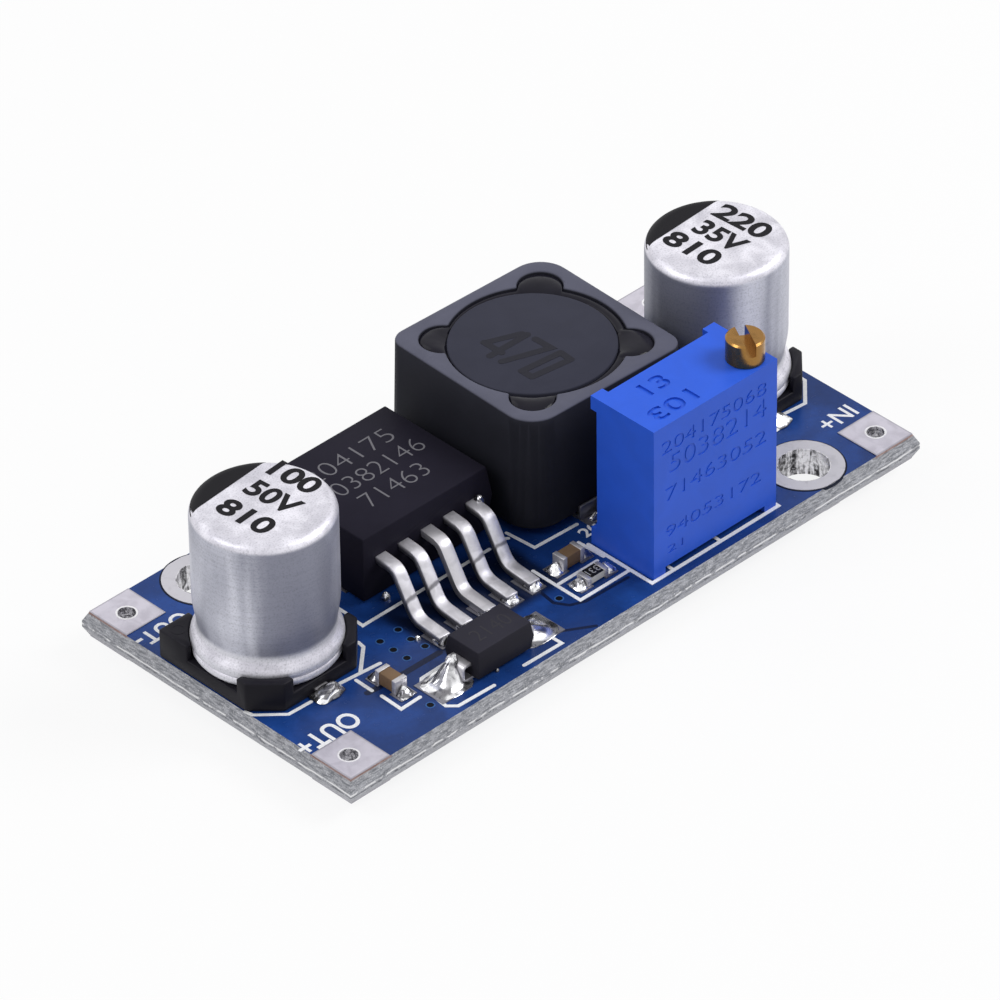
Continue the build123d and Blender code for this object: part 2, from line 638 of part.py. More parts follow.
# Two printed tracks on the substrate's face, side by side: the resistive one and the collector
track_x0 = SUBSTRATE_X0 + TRACK_IN + TRACK_W / 2
for name, track_x in (
    ("trimmer_resistive_track", track_x0),
    ("trimmer_collector_track", track_x0 + TRACK_W + TRACK_GAP),
):
    with BuildPart() as printed_track:
        with BuildSketch(level(CARRIAGE_Z - TRACK_H / 2, track_x, SUBSTRATE_FACE_Y - TRACK_T / 2)):
            Rectangle(TRACK_W, TRACK_T)
        extrude(amount=TRACK_H)
    printed_track.part.label = name
    export_step(printed_track.part, f"parts/{name}.step")

# Adjusting screw: slotted head, sealed neck, collar under the roof, threaded shaft and pivot
head_z0 = TRIMMER_TOP + SCREW_HEAD_GAP
head_z1 = head_z0 + SCREW_HEAD_H
seal_z1 = TRIMMER_TOP - TRIMMER_ROOF_LIP - SEAL_CLEARANCE
seal_z0 = seal_z1 - SEAL_T
collar_z1 = seal_z0 - SEAL_CLEARANCE
collar_z0 = collar_z1 - SCREW_COLLAR_T
thread_z0 = POTTING_TOP + SCREW_END_GAP
pivot_z0 = POTTING_TOP - SCREW_PIVOT_L + SCREW_END_GAP
screw_axis = Axis((SCREW_X, SCREW_Y, 0), (0, 0, 1))
with BuildPart() as trimmer_screw:
    with BuildSketch(front_plane(SCREW_X, SCREW_Y)):
        with BuildLine():
            Polyline(
                (0, pivot_z0),
                (SCREW_PIVOT_R, pivot_z0),
                (SCREW_PIVOT_R, thread_z0),
                (SCREW_THREAD_R, thread_z0),
                (SCREW_THREAD_R, collar_z0),
                (SCREW_COLLAR_R, collar_z0),
                (SCREW_COLLAR_R, collar_z1),
                (SCREW_NECK_R, collar_z1),
                (SCREW_NECK_R, head_z0),
                (SCREW_HEAD_R, head_z0),
                (SCREW_HEAD_R, head_z1 - SCREW_HEAD_CHAMFER),
                (SCREW_HEAD_R - SCREW_HEAD_CHAMFER, head_z1),
                (0, head_z1),
                close=True,
            )
        make_face()
    revolve(axis=screw_axis)
    with BuildSketch(level(head_z1, SCREW_X, SCREW_Y)):
        Rectangle(3 * SCREW_HEAD_R, SCREW_SLOT_W, rotation=SCREW_SLOT_ANGLE)
    extrude(amount=-SCREW_SLOT_DEPTH, mode=Mode.SUBTRACT)
trimmer_screw.part.label = "trimmer_screw"
export_step(trimmer_screw.part, "parts/trimmer_screw.step")

# Seal ring around the screw's neck, between its collar and the lip of the roof
with BuildPart() as trimmer_seal:
    seal_inner_r = SCREW_NECK_R + SEAL_CLEARANCE
    with BuildSketch(front_plane(SCREW_X, SCREW_Y)):
        with Locations(((seal_inner_r + SCREW_COLLAR_R) / 2, (seal_z0 + seal_z1) / 2)):
            Rectangle(SCREW_COLLAR_R - seal_inner_r, SEAL_T)
    revolve(axis=screw_axis)
trimmer_seal.part.label = "trimmer_seal"
export_step(trimmer_seal.part, "parts/trimmer_seal.step")

# Housing: block on feet, bumps on the back corners, open below, bored for the screw
with BuildPart() as trimmer_housing:
    with BuildSketch(level(TRIMMER_FLOOR, TRIMMER_CX, TRIMMER_BODY_CY)):
        Rectangle(TRIMMER_L, TRIMMER_BODY_W)
    extrude(amount=TRIMMER_TOP - TRIMMER_FLOOR)
    foot_x = (TRIMMER_L - TRIMMER_FOOT) / 2
    foot_y = (TRIMMER_BODY_W - TRIMMER_FOOT) / 2
    with BuildSketch(level(BOARD_T, TRIMMER_CX, TRIMMER_BODY_CY)):
        with Locations((foot_x, foot_y), (-foot_x, foot_y), (foot_x, -foot_y), (-foot_x, -foot_y)):
            Rectangle(TRIMMER_FOOT, TRIMMER_FOOT)
    extrude(amount=TRIMMER_STANDOFF)
    bump_y = (TRIMMER_BODY_W + TRIMMER_BACK_BUMP) / 2
    for bump_z0, bump_h in (
        (BOARD_T, TRIMMER_FOOT_BUMP_H),
        (TRIMMER_TOP - TRIMMER_BUMP_H, TRIMMER_BUMP_H),
    ):
        with BuildSketch(level(bump_z0, TRIMMER_CX, TRIMMER_BODY_CY)):
            with Locations((foot_x, bump_y), (-foot_x, bump_y)):
                Rectangle(TRIMMER_FOOT, TRIMMER_BACK_BUMP)
        extrude(amount=bump_h)
    with BuildSketch(level(TRIMMER_FLOOR)) as cavity:
        with Locations(((CAVITY_X0 + SCREW_X) / 2, (CAVITY_Y0 + CAVITY_Y1) / 2)):
            Rectangle(SCREW_X - CAVITY_X0, CAVITY_Y1 - CAVITY_Y0)
        with Locations((SCREW_X, SCREW_Y)):
            Circle(SCREW_THREAD_R + THREAD_WALL_CLEARANCE)
    extrude(amount=CAVITY_TOP - TRIMMER_FLOOR, mode=Mode.SUBTRACT)
    with BuildSketch(level(CAVITY_TOP, SCREW_X, SCREW_Y)):
        Circle(SCREW_COLLAR_R + RUNNING_CLEARANCE)
    extrude(amount=TRIMMER_ROOF - TRIMMER_ROOF_LIP, mode=Mode.SUBTRACT)
    with BuildSketch(level(CAVITY_TOP, SCREW_X, SCREW_Y)):
        Circle(SCREW_NECK_R + RUNNING_CLEARANCE)
    extrude(amount=TRIMMER_ROOF, mode=Mode.SUBTRACT)
trimmer_housing.part.label = "trimmer_housing"
export_step(trimmer_housing.part, "parts/trimmer_housing.step")

# Potting that closes the housing, around the pins, with a pocket for the screw's pivot
with BuildPart() as trimmer_potting:
    with BuildSketch(level(POTTING_Z0)):
        add(cavity.sketch_local)
    extrude(amount=POTTING_T)
    with BuildSketch(level(POTTING_TOP, SCREW_X, SCREW_Y)):
        Circle(SCREW_PIVOT_R + RUNNING_CLEARANCE)
    extrude(amount=-SCREW_PIVOT_L, mode=Mode.SUBTRACT)
    add(trimmer_pins.part, mode=Mode.SUBTRACT)
    add(trimmer_substrate.part, mode=Mode.SUBTRACT)
trimmer_potting.part.label = "trimmer_potting"
export_step(trimmer_potting.part, "parts/trimmer_potting.step")

# Carriage: a block between the walls whose end is a half nut on the screw's thread
carriage_y0 = CAVITY_Y0 + CARRIAGE_SIDE_GAP
carriage_y1 = SUBSTRATE_FACE_Y - WIPER_ROOM
with BuildPart() as trimmer_carriage:
    with BuildSketch(level(CARRIAGE_Z - CARRIAGE_H / 2)):
        with Locations((SCREW_X - CARRIAGE_L / 2, (carriage_y0 + carriage_y1) / 2)):
            Rectangle(CARRIAGE_L, carriage_y1 - carriage_y0)
        with Locations((SCREW_X, SCREW_Y)):
            Circle(SCREW_THREAD_R + RUNNING_CLEARANCE, mode=Mode.SUBTRACT)
    extrude(amount=CARRIAGE_H)
trimmer_carriage.part.label = "trimmer_carriage"
export_step(trimmer_carriage.part, "parts/trimmer_carriage.step")

# Wiper: a bent strip seated on the carriage, one sprung tip over each track
with BuildPart() as trimmer_wiper:
    wiper_mid_x = track_x0 + (TRACK_W + TRACK_GAP) / 2
    wiper_seat_y = carriage_y1 + WIPER_T / 2
    wiper_tip_y = SUBSTRATE_FACE_Y - TRACK_T - WIPER_GAP - WIPER_T / 2
    wiper_half = [
        (WIPER_SEAT_L / 2, wiper_seat_y),
        (WIPER_SEAT_L / 2 + WIPER_ARM_X, wiper_tip_y),
        (WIPER_SEAT_L / 2 + WIPER_ARM_X + WIPER_TIP_L, wiper_tip_y),
    ]
    with BuildSketch(level(CARRIAGE_Z - WIPER_W / 2, wiper_mid_x, 0)):
        with BuildLine():
            Polyline(*[(-x, y) for x, y in reversed(wiper_half)], *wiper_half)
        trace(line_width=WIPER_T)
    extrude(amount=WIPER_W)
trimmer_wiper.part.label = "trimmer_wiper"
export_step(trimmer_wiper.part, "parts/trimmer_wiper.step")

# Solder on the trimmer's pins: a cone down each pin under the board
with BuildPart() as trimmer_solder:
    for pin_x in PIN_XS:
        with BuildSketch(front_plane(pin_x, PIN_Y)):
            with BuildLine():
                Polyline((PIN_R, 0), (PIN_SOLDER_R, 0), (PIN_R, -PIN_SOLDER_H), close=True)
            make_face()
        revolve(axis=Axis((pin_x, PIN_Y, 0), (0, 0, 1)))
trimmer_solder.part.label = "trimmer_solder"
export_step(trimmer_solder.part, "parts/trimmer_solder.step")


# Chip parts: a ceramic block with a plated cap over each end
chip_caps = []
for body_name, caps_name, chip_x, chip_y, turn, chip_h in (
    ("filter_capacitor", "filter_capacitor_caps", FILTER_CAP_X, FILTER_CAP_Y, 0, CERAMIC_CAP_H),
    ("output_chip_capacitor", "output_chip_capacitor_caps", OUTPUT_CHIP_X, OUTPUT_CHIP_Y, 90, CERAMIC_CAP_H),
    ("resistor", "resistor_caps", RESISTOR_X, RESISTOR_Y, 0, RESISTOR_H),
):
    chip_plane = level(SEAT, chip_x, chip_y).rotated((0, 0, turn))
    with BuildPart() as chip_body:
        with BuildSketch(chip_plane.offset(CHIP_CAP_T)):
            Rectangle(CHIP_L - 2 * CHIP_CAP_T, CHIP_W)
        extrude(amount=chip_h)
    chip_body.part.label = body_name
    export_step(chip_body.part, f"parts/{body_name}.step")
    with BuildPart() as chip_end_caps:
        with BuildSketch(chip_plane):
            cap_centre = (CHIP_L - CHIP_CAP_L) / 2
            with Locations((cap_centre, 0), (-cap_centre, 0)):
                Rectangle(CHIP_CAP_L, CHIP_W + 2 * CHIP_CAP_T)
        extrude(amount=chip_h + 2 * CHIP_CAP_T)
        add(chip_body.part, mode=Mode.SUBTRACT)
    chip_end_caps.part.label = caps_name
    export_step(chip_end_caps.part, f"parts/{caps_name}.step")
    chip_caps.append(chip_end_caps.part)

# Glass coating printed on top of the resistor, between its caps
with BuildPart() as resistor_coating:
    with BuildSketch(level(SEAT + CHIP_CAP_T + RESISTOR_H, RESISTOR_X, RESISTOR_Y)):
        Rectangle(RESISTOR_COATING_L, CHIP_W)
    extrude(amount=RESISTOR_COATING_T)
resistor_coating.part.label = "resistor_coating"
export_step(resistor_coating.part, "parts/resistor_coating.step")


# Land and solder places: centre x, centre y, size x, size y
lead_lands = [
    (x, LEAD_TOE_Y - LAND_MARGIN + LEAD_LAND_L / 2, LEAD_W + 2 * LEAD_LAND_SIDE, LEAD_LAND_L) for x in TOE_XS
]
tab_land_y1 = TAB_END_Y + TAB_LAND_OUT
tab_land = (
    REGULATOR_X,
    (TAB_LAND_Y0 + tab_land_y1) / 2,
    TAB_W + 2 * LAND_MARGIN,
    tab_land_y1 - TAB_LAND_Y0,
)
diode_land_x = DIODE_LEAD_REACH + LAND_MARGIN + DIODE_LAND_L / 2 - DIODE_LEAD_FOOT / 2
diode_lands = [
    (DIODE_X + side * diode_land_x, DIODE_Y, DIODE_LAND_L, DIODE_LEAD_W + 2.5 * LAND_MARGIN)
    for side in (1, -1)
]
cap_land_y = CAP_BASE_S / 2 + CAP_LEAD_OUT + CAP_LAND_OUT - CAP_LAND_L / 2
cap_places = ((OUTPUT_CAP_X, OUTPUT_CAP_Y), (INPUT_CAP_X, INPUT_CAP_Y))
cap_lands = [
    (x, y + side * cap_land_y, CAP_LEAD_W + 2 * LAND_MARGIN, CAP_LAND_L)
    for x, y in cap_places
    for side in (1, -1)
]
inductor_land_y0 = INDUCTOR_TERMINAL_INNER - LAND_MARGIN
inductor_land_y1 = SHIELD_S / 2 + INDUCTOR_TERMINAL_T + INDUCTOR_LAND_OUT
inductor_lands = [
    (
        INDUCTOR_X,
        INDUCTOR_Y + side * (inductor_land_y0 + inductor_land_y1) / 2,
        INDUCTOR_TERMINAL_W + LAND_MARGIN,
        inductor_land_y1 - inductor_land_y0,
    )
    for side in INDUCTOR_SIDES
]
chip_land_at = CHIP_L / 2 + CHIP_SOLDER_L - CHIP_LAND_L / 2
flat_chips = ((FILTER_CAP_X, FILTER_CAP_Y), (RESISTOR_X, RESISTOR_Y))
chip_lands = [
    (x + side * chip_land_at, y, CHIP_LAND_L, CHIP_W + LAND_MARGIN) for x, y in flat_chips for side in (1, -1)
]
chip_lands += [
    (OUTPUT_CHIP_X, OUTPUT_CHIP_Y + side * chip_land_at, CHIP_W + LAND_MARGIN, CHIP_LAND_L)
    for side in (1, -1)
]

# Copper lands under every terminal
with BuildPart() as component_lands:
    for land_x, land_y, size_x, size_y in (
        *lead_lands,
        tab_land,
        *diode_lands,
        *cap_lands,
        *inductor_lands,
        *chip_lands,
    ):
        with BuildSketch(level(BOARD_T, land_x, land_y)):
            Rectangle(size_x, size_y)
        extrude(amount=COPPER_T)
component_lands.part.label = "component_lands"
export_step(component_lands.part, "parts/component_lands.step")


def solder_fillets(places, height, *seated_parts):
    """Tapered solder mounds at the places, shaped around the terminals that they hold."""
    with BuildPart() as fillets:
        for mound_x, mound_y, size_x, size_y in places:
            with BuildSketch(level(SEAT, mound_x, mound_y)):
                Rectangle(size_x, size_y)
            extrude(amount=height, taper=SOLDER_TAPER)
        for seated in seated_parts:
            add(seated, mode=Mode.SUBTRACT)
    return fillets.part


# Solder joints, one group for each component
toe_mounds = [
    (x, LEAD_TOE_Y - LAND_MARGIN + TOE_SOLDER_L / 2, LEAD_W + LEAD_LAND_SIDE, TOE_SOLDER_L) for x in TOE_XS
]
regulator_solder = solder_fillets(toe_mounds, TOE_SOLDER_H, regulator_leads.part, regulator_tab.part)
regulator_solder.label = "regulator_solder"
export_step(regulator_solder, "parts/regulator_solder.step")

tab_mound = [(REGULATOR_X, tab_land_y1 - TAB_SOLDER_L / 2, TAB_W, TAB_SOLDER_L)]
tab_solder = solder_fillets(tab_mound, TAB_SOLDER_H, regulator_tab.part)
tab_solder.label = "tab_solder"
export_step(tab_solder, "parts/tab_solder.step")

diode_mound_x = diode_land_x + (DIODE_LAND_L - DIODE_SOLDER_L) / 2
diode_mounds = [
    (DIODE_X + side * diode_mound_x, DIODE_Y, DIODE_SOLDER_L, DIODE_LEAD_W + 2 * LAND_MARGIN)
    for side in (1, -1)
]
diode_solder = solder_fillets(diode_mounds, DIODE_SOLDER_H, diode_leads.part, diode_body.part)
diode_solder.label = "diode_solder"
export_step(diode_solder, "parts/diode_solder.step")

cap_mound_y = CAP_BASE_S / 2 + CAP_SOLDER_L / 2
for name, (cap_x, cap_y) in zip(("output_capacitor_solder", "input_capacitor_solder"), cap_places):
    cap_mounds = [
        (cap_x, cap_y + side * cap_mound_y, CAP_LEAD_W + 2 * LAND_MARGIN, CAP_SOLDER_L) for side in (1, -1)
    ]
    with BuildPart() as cap_strip:
        with BuildSketch(level(SEAT, cap_x, cap_y)):
            Rectangle(CAP_LEAD_W, CAP_BASE_S + 2 * CAP_LEAD_OUT)
        extrude(amount=CAP_LEAD_T)
    cap_solder = solder_fillets(cap_mounds, CAP_SOLDER_H, cap_strip.part)
    cap_solder.label = name
    export_step(cap_solder, f"parts/{name}.step")

inductor_mound_y = SHIELD_S / 2 + INDUCTOR_TERMINAL_T + INDUCTOR_LAND_OUT / 2
inductor_mounds = [
    (INDUCTOR_X, INDUCTOR_Y + side * inductor_mound_y, INDUCTOR_TERMINAL_W, INDUCTOR_LAND_OUT)
    for side in INDUCTOR_SIDES
]
inductor_solder = solder_fillets(inductor_mounds, INDUCTOR_SOLDER_H, inductor_terminals.part)
inductor_solder.label = "inductor_solder"
export_step(inductor_solder, "parts/inductor_solder.step")

chip_mound_at = CHIP_L / 2 + CHIP_SOLDER_L / 2
chip_mounds = [
    (x + side * chip_mound_at, y, CHIP_SOLDER_L, CHIP_W) for x, y in flat_chips for side in (1, -1)
]
chip_mounds += [
    (OUTPUT_CHIP_X, OUTPUT_CHIP_Y + side * chip_mound_at, CHIP_W, CHIP_SOLDER_L) for side in (1, -1)
]
chip_solder = solder_fillets(chip_mounds, CHIP_SOLDER_H, *chip_caps)
chip_solder.label = "chip_solder"
export_step(chip_solder, "parts/chip_solder.step")
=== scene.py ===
import logging
import math
from dataclasses import dataclass, field
from enum import Enum
from typing import Iterable, Optional, Sequence, Union

import bmesh
import bpy
from mathutils import Matrix, Quaternion, Vector, noise


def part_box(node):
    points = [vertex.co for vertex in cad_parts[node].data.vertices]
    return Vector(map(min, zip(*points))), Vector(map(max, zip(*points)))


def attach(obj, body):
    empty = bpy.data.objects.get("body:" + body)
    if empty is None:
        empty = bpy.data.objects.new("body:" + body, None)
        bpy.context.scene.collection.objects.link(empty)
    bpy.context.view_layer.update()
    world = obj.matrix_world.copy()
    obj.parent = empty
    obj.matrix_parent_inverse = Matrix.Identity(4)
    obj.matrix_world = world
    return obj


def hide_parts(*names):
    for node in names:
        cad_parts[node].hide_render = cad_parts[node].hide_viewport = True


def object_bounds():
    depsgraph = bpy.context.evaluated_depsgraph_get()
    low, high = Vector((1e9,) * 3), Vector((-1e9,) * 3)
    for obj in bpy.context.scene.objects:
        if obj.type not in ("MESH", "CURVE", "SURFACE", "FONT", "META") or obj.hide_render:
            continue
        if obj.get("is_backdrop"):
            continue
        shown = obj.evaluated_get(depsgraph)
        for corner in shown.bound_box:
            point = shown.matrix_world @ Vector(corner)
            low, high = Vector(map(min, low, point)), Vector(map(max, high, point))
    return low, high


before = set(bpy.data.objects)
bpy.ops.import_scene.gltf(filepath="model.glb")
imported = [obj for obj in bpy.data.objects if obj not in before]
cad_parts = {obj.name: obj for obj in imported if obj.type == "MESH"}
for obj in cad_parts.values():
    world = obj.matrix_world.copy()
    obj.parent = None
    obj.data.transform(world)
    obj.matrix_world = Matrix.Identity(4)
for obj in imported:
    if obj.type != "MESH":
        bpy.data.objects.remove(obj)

CAD_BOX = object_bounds()
LOG = logging.getLogger("boost_converter")
MM = 0.001
SHARP = 38.0  # degrees between two faces above which their edge stays sharp
SEAM = 2e-6  # metres within which the points of neighbouring CAD faces are one
FIGURE_SEAM = SEAM / 200  # the same for the points of one figure, which are much closer together

Tint = tuple[float, float, float, float]
Flat = tuple[float, float]
Spot = tuple[float, float, float]
Feed = Union["Value", bpy.types.NodeSocket, float, Tint, Spot]


def tint(code: str, level: float = 1.0) -> Tint:
    """Turns a colour as seen on screen into the linear colour that a shader takes.

    Args:
        code: The colour as six hexadecimal digits after a hash sign.
        level: A factor on its brightness.

    Returns:
        Red, green, blue and an alpha of 1.
    """
    parts = [int(code[i:i + 2], 16) / 255 for i in (1, 3, 5)]
    linear = [c / 12.92 if c < 0.04045 else ((c + 0.055) / 1.055) ** 2.4 for c in parts]
    return (*(min(1.0, c * level) for c in linear), 1.0)


class Value:
    """A socket that carries a number, so that shader maths reads as arithmetic."""

    def __init__(self, graph: "Graph", socket: bpy.types.NodeSocket) -> None:
        """Keeps the tree and the socket."""
        self.graph = graph
        self.socket = socket

    def __add__(self, other: Feed) -> "Value":
        """self + other"""
        return self.graph.math("ADD", self, other)

    def __radd__(self, other: Feed) -> "Value":
        """other + self"""
        return self.graph.math("ADD", other, self)

    def __sub__(self, other: Feed) -> "Value":
        """self - other"""
        return self.graph.math("SUBTRACT", self, other)

    def __rsub__(self, other: Feed) -> "Value":
        """other - self"""
        return self.graph.math("SUBTRACT", other, self)

    def __mul__(self, other: Feed) -> "Value":
        """self * other"""
        return self.graph.math("MULTIPLY", self, other)

    def __rmul__(self, other: Feed) -> "Value":
        """other * self"""
        return self.graph.math("MULTIPLY", other, self)

    def __abs__(self) -> "Value":
        """The value without its sign."""
        return self.graph.math("ABSOLUTE", self)

    def least(self, other: Feed) -> "Value":
        """The smaller of the two."""
        return self.graph.math("MINIMUM", self, other)

    def most(self, other: Feed) -> "Value":
        """The larger of the two."""
        return self.graph.math("MAXIMUM", self, other)

    def rise(self, low: float, high: float) -> "Value":
        """Eases from 0 to 1 while the value goes from low to high.

        Args:
            low: The value that gives 0.
            high: The value that gives 1, which may be below low.

        Returns:
            The eased value.
        """
        settings = {"interpolation_type": "SMOOTHSTEP"}
        sockets = {"Value": self, "From Min": low, "From Max": high}
        return Value(self.graph, self.graph.node("ShaderNodeMapRange", settings, sockets).outputs[0])


class Graph:
    """The node tree of one material or of the world."""

    def __init__(self, owner: Union[bpy.types.Material, bpy.types.World]) -> None:
        """Empties the owner's tree, ready for new nodes.

        Args:
            owner: The material or world.
        """
        owner.use_nodes = True
        self.tree = owner.node_tree
        self.tree.nodes.clear()
        self.place = self.node("ShaderNodeTexCoord").outputs["Object"]

    def node(self, kind: str, settings: Optional[dict] = None,
             sockets: Optional[dict] = None) -> bpy.types.Node:
        """Adds one node.

        Args:
            kind: The node's type.
            settings: Its properties, set before anything is fed to it.
            sockets: A value or link for each input, by name or number.

        Returns:
            The new node.
        """
        made = self.tree.nodes.new(kind)
        for key, value in (settings or {}).items():
            setattr(made, key, value)
        for key, value in (sockets or {}).items():
            self.feed(made.inputs[key], value)
        return made

    def feed(self, socket: bpy.types.NodeSocket, value: Feed) -> None:
        """Links a value to an input, or sets the input where the value is a plain number or colour.

        Args:
            socket: The input.
            value: What it gets.
        """
        if isinstance(value, Value):
            value = value.socket
        if isinstance(value, bpy.types.NodeSocket):
            self.tree.links.new(value, socket)
        else:
            socket.default_value = value

    def math(self, operation: str, *terms: Feed) -> Value:
        """One Math node on its terms, as a value."""
        made = self.node("ShaderNodeMath", {"operation": operation}, dict(enumerate(terms)))
        return Value(self, made.outputs[0])

    def axes(self, vector: Optional[bpy.types.NodeSocket] = None) -> list[Value]:
        """Splits a vector, or the place on the object in metres, into its three parts."""
        split = self.node("ShaderNodeSeparateXYZ", sockets={0: vector or self.place})
        return [Value(self, out) for out in split.outputs]

    def facing(self) -> list[Value]:
        """The three parts of the surface's direction."""
        return self.axes(self.node("ShaderNodeNewGeometry").outputs["Normal"])

    def spread(self, size: float, stretch: Spot = (1, 1, 1)) -> bpy.types.NodeSocket:
        """Scales the place on the object, so that one unit is one pattern.

        Args:
            size: The pattern's size in millimetres.
            stretch: How many times longer the pattern is along each axis.

        Returns:
            The scaled place.
        """
        scale = tuple(1 / (MM * size * part) for part in stretch)
        made = self.node("ShaderNodeVectorMath", {"operation": "MULTIPLY"}, {0: self.place, 1: scale})
        return made.outputs[0]

    def noise(self, size: float, detail: float = 2.0, stretch: Spot = (1, 1, 1), wave: float = 0.0) -> Value:
        """Clouds round 0.5 of a size in millimetres, with finer layers, stretched by axis and swirled."""
        sockets = {"Vector": self.spread(size, stretch), "Scale": 1.0, "Detail": detail, "Distortion": wave}
        return Value(self, self.node("ShaderNodeTexNoise", sockets=sockets).outputs[0])

    def within(self, value: Value, low: float, high: float, soft: float) -> Value:
        """1 where the value is between low and high, easing to 0 over soft at both ends."""
        return value.rise(low - soft, low + soft) * value.rise(high + soft, high - soft)

    def mix(self, share: Feed, first: Feed, second: Feed) -> bpy.types.NodeSocket:
        """Blends two colours: a share of 0 gives the first, and 1 the second."""
        made = self.node("ShaderNodeMix", {"data_type": "RGBA"}, {0: share, 6: first, 7: second})
        return made.outputs[2]

    def bump(self, height: Value, depth: float) -> bpy.types.NodeSocket:
        """The normal of a surface raised by a pattern from 0 to 1, where 1 is depth millimetres high."""
        sockets = {"Strength": 1.0, "Distance": depth * MM, "Height": height}
        return self.node("ShaderNodeBump", sockets=sockets).outputs[0]

    def surface(self, **sockets: Feed) -> None:
        """Ends the tree in one Principled shader.

        Args:
            sockets: Its inputs, with an underscore for each space in their names.
        """
        named = {key.replace("_", " "): value for key, value in sockets.items()}
        shader = self.node("ShaderNodeBsdfPrincipled", sockets=named)
        self.node("ShaderNodeOutputMaterial", sockets={"Surface": shader.outputs[0]})


@dataclass(frozen=True, kw_only=True)
class Finish:
    """A finish by its name, with the name of the slot that it belongs to."""

    name: str
    slot: str = ""

    def material(self) -> bpy.types.Material:
        """Makes this finish's material, or finds the one that is there.

        Returns:
            The material.
        """
        title = f"{self.name}_finish"
        made = bpy.data.materials.get(title)
        if made is None:
            made = bpy.data.materials.new(title)
            self.paint(Graph(made))
        return made

    def paint(self, graph: Graph) -> None:
        """Fills the material's tree, as each kind of finish does in its own way."""
        raise NotImplementedError


@dataclass(frozen=True, kw_only=True)
class Moulded(Finish):
    """Moulded or cast resin: a fine spark-eroded grain with slow changes of shade, and painted shade on the faces
    that don't look up, by the side share.
    """

    colour: str
    roughness: float = 0.5
    grain: float = 0.09
    depth: float = 0.005
    mottle: float = 0.12
    gloss: float = 0.35
    # Share of the colour that faces which don't look up get: painted shade on the sides.
    side: float = 1.0

    def paint(self, graph: Graph) -> None:
        """Fills the material's tree.

        Args:
            graph: The tree.
        """
        fine = graph.noise(self.grain, 3)
        broad = graph.noise(1.9, 3, wave=0.6)
        shade = broad.rise(0.3, 0.7) * 0.8 + fine * 0.2
        # Faces that look up keep the colour, and the others are painted darker by the side share: painted shade.
        up = graph.facing()[2].rise(0.1, 0.85)
        levels = (1 - self.mottle, 1 + self.mottle)
        top, side = (graph.mix(shade, *(tint(self.colour, part * level) for level in levels))
                     for part in (1.0, self.side))
        graph.surface(Base_Color=graph.mix(up, side, top), Specular_IOR_Level=self.gloss,
                      Roughness=self.roughness - 0.09 + fine * 0.1 + broad * 0.08,
                      Normal=graph.bump(fine, self.depth))


@dataclass(frozen=True, kw_only=True)
class Metal(Finish):
    """Bare or plated metal, with rolled or drawn lines and faint tarnish."""

    colour: str
    roughness: float = 0.3
    grain: float = 0.05
    stretch: Spot = (1, 1, 1)
    depth: float = 0.002
    tarnish: float = 0.25
    metallic: float = 1.0

    def paint(self, graph: Graph) -> None:
        """Fills the material's tree.

        Args:
            graph: The tree.
        """
        lines = graph.noise(self.grain, 3, self.stretch)
        stain = graph.noise(0.8, 4, wave=0.8).rise(0.48, 0.75)
        colour = graph.mix(stain * self.tarnish + lines * 0.15, tint(self.colour), tint(self.colour, 0.45))
        graph.surface(Base_Color=colour, Metallic=self.metallic,
                      Roughness=self.roughness - 0.06 + lines * 0.12 + stain * 0.12,
                      Normal=graph.bump(lines, self.depth))


@dataclass(frozen=True, kw_only=True)
class LeadFinish(Finish):
    """Satin tinned strip, with painted shade on the faces that don't look up and a painted dark band of shade, over
    a bumped groove, across the bend.
    """

    top: str = "#dedce2"
    # Colour of the faces that don't look up: painted shade.
    side: str = "#5e5e66"
    # Colour of the band across the bend: painted shade.
    fold: str = "#4c4b52"
    crease: float = -2.6

    def paint(self, graph: Graph) -> None:
        """Fills the material's tree.

        Args:
            graph: The tree.
        """
        lines = graph.noise(0.09, 3, (1, 4, 4))
        cloud = graph.noise(0.7, 3, wave=0.7)
        along = graph.axes()[1] + (graph.noise(0.6, 2) - 0.5) * 0.00016
        # A painted band of shade across the bend at the crease.
        fold = abs(along - self.crease * MM).rise(0.10 * MM, 0.02 * MM)
        # Faces that don't look up take the side colour: painted shade.
        up = graph.facing()[2].rise(-0.1, 0.35)
        top = graph.mix(cloud.rise(0.35, 0.65), tint(self.top, 0.8), tint(self.top))
        colour = graph.mix(fold * 0.75, graph.mix(up, tint(self.side), top), tint(self.fold))
        graph.surface(Base_Color=colour, Metallic=0.6, Roughness=0.36 + lines * 0.14,
                      Normal=graph.bump(lines * 0.4 + (1 - fold) * 0.6, 0.012))


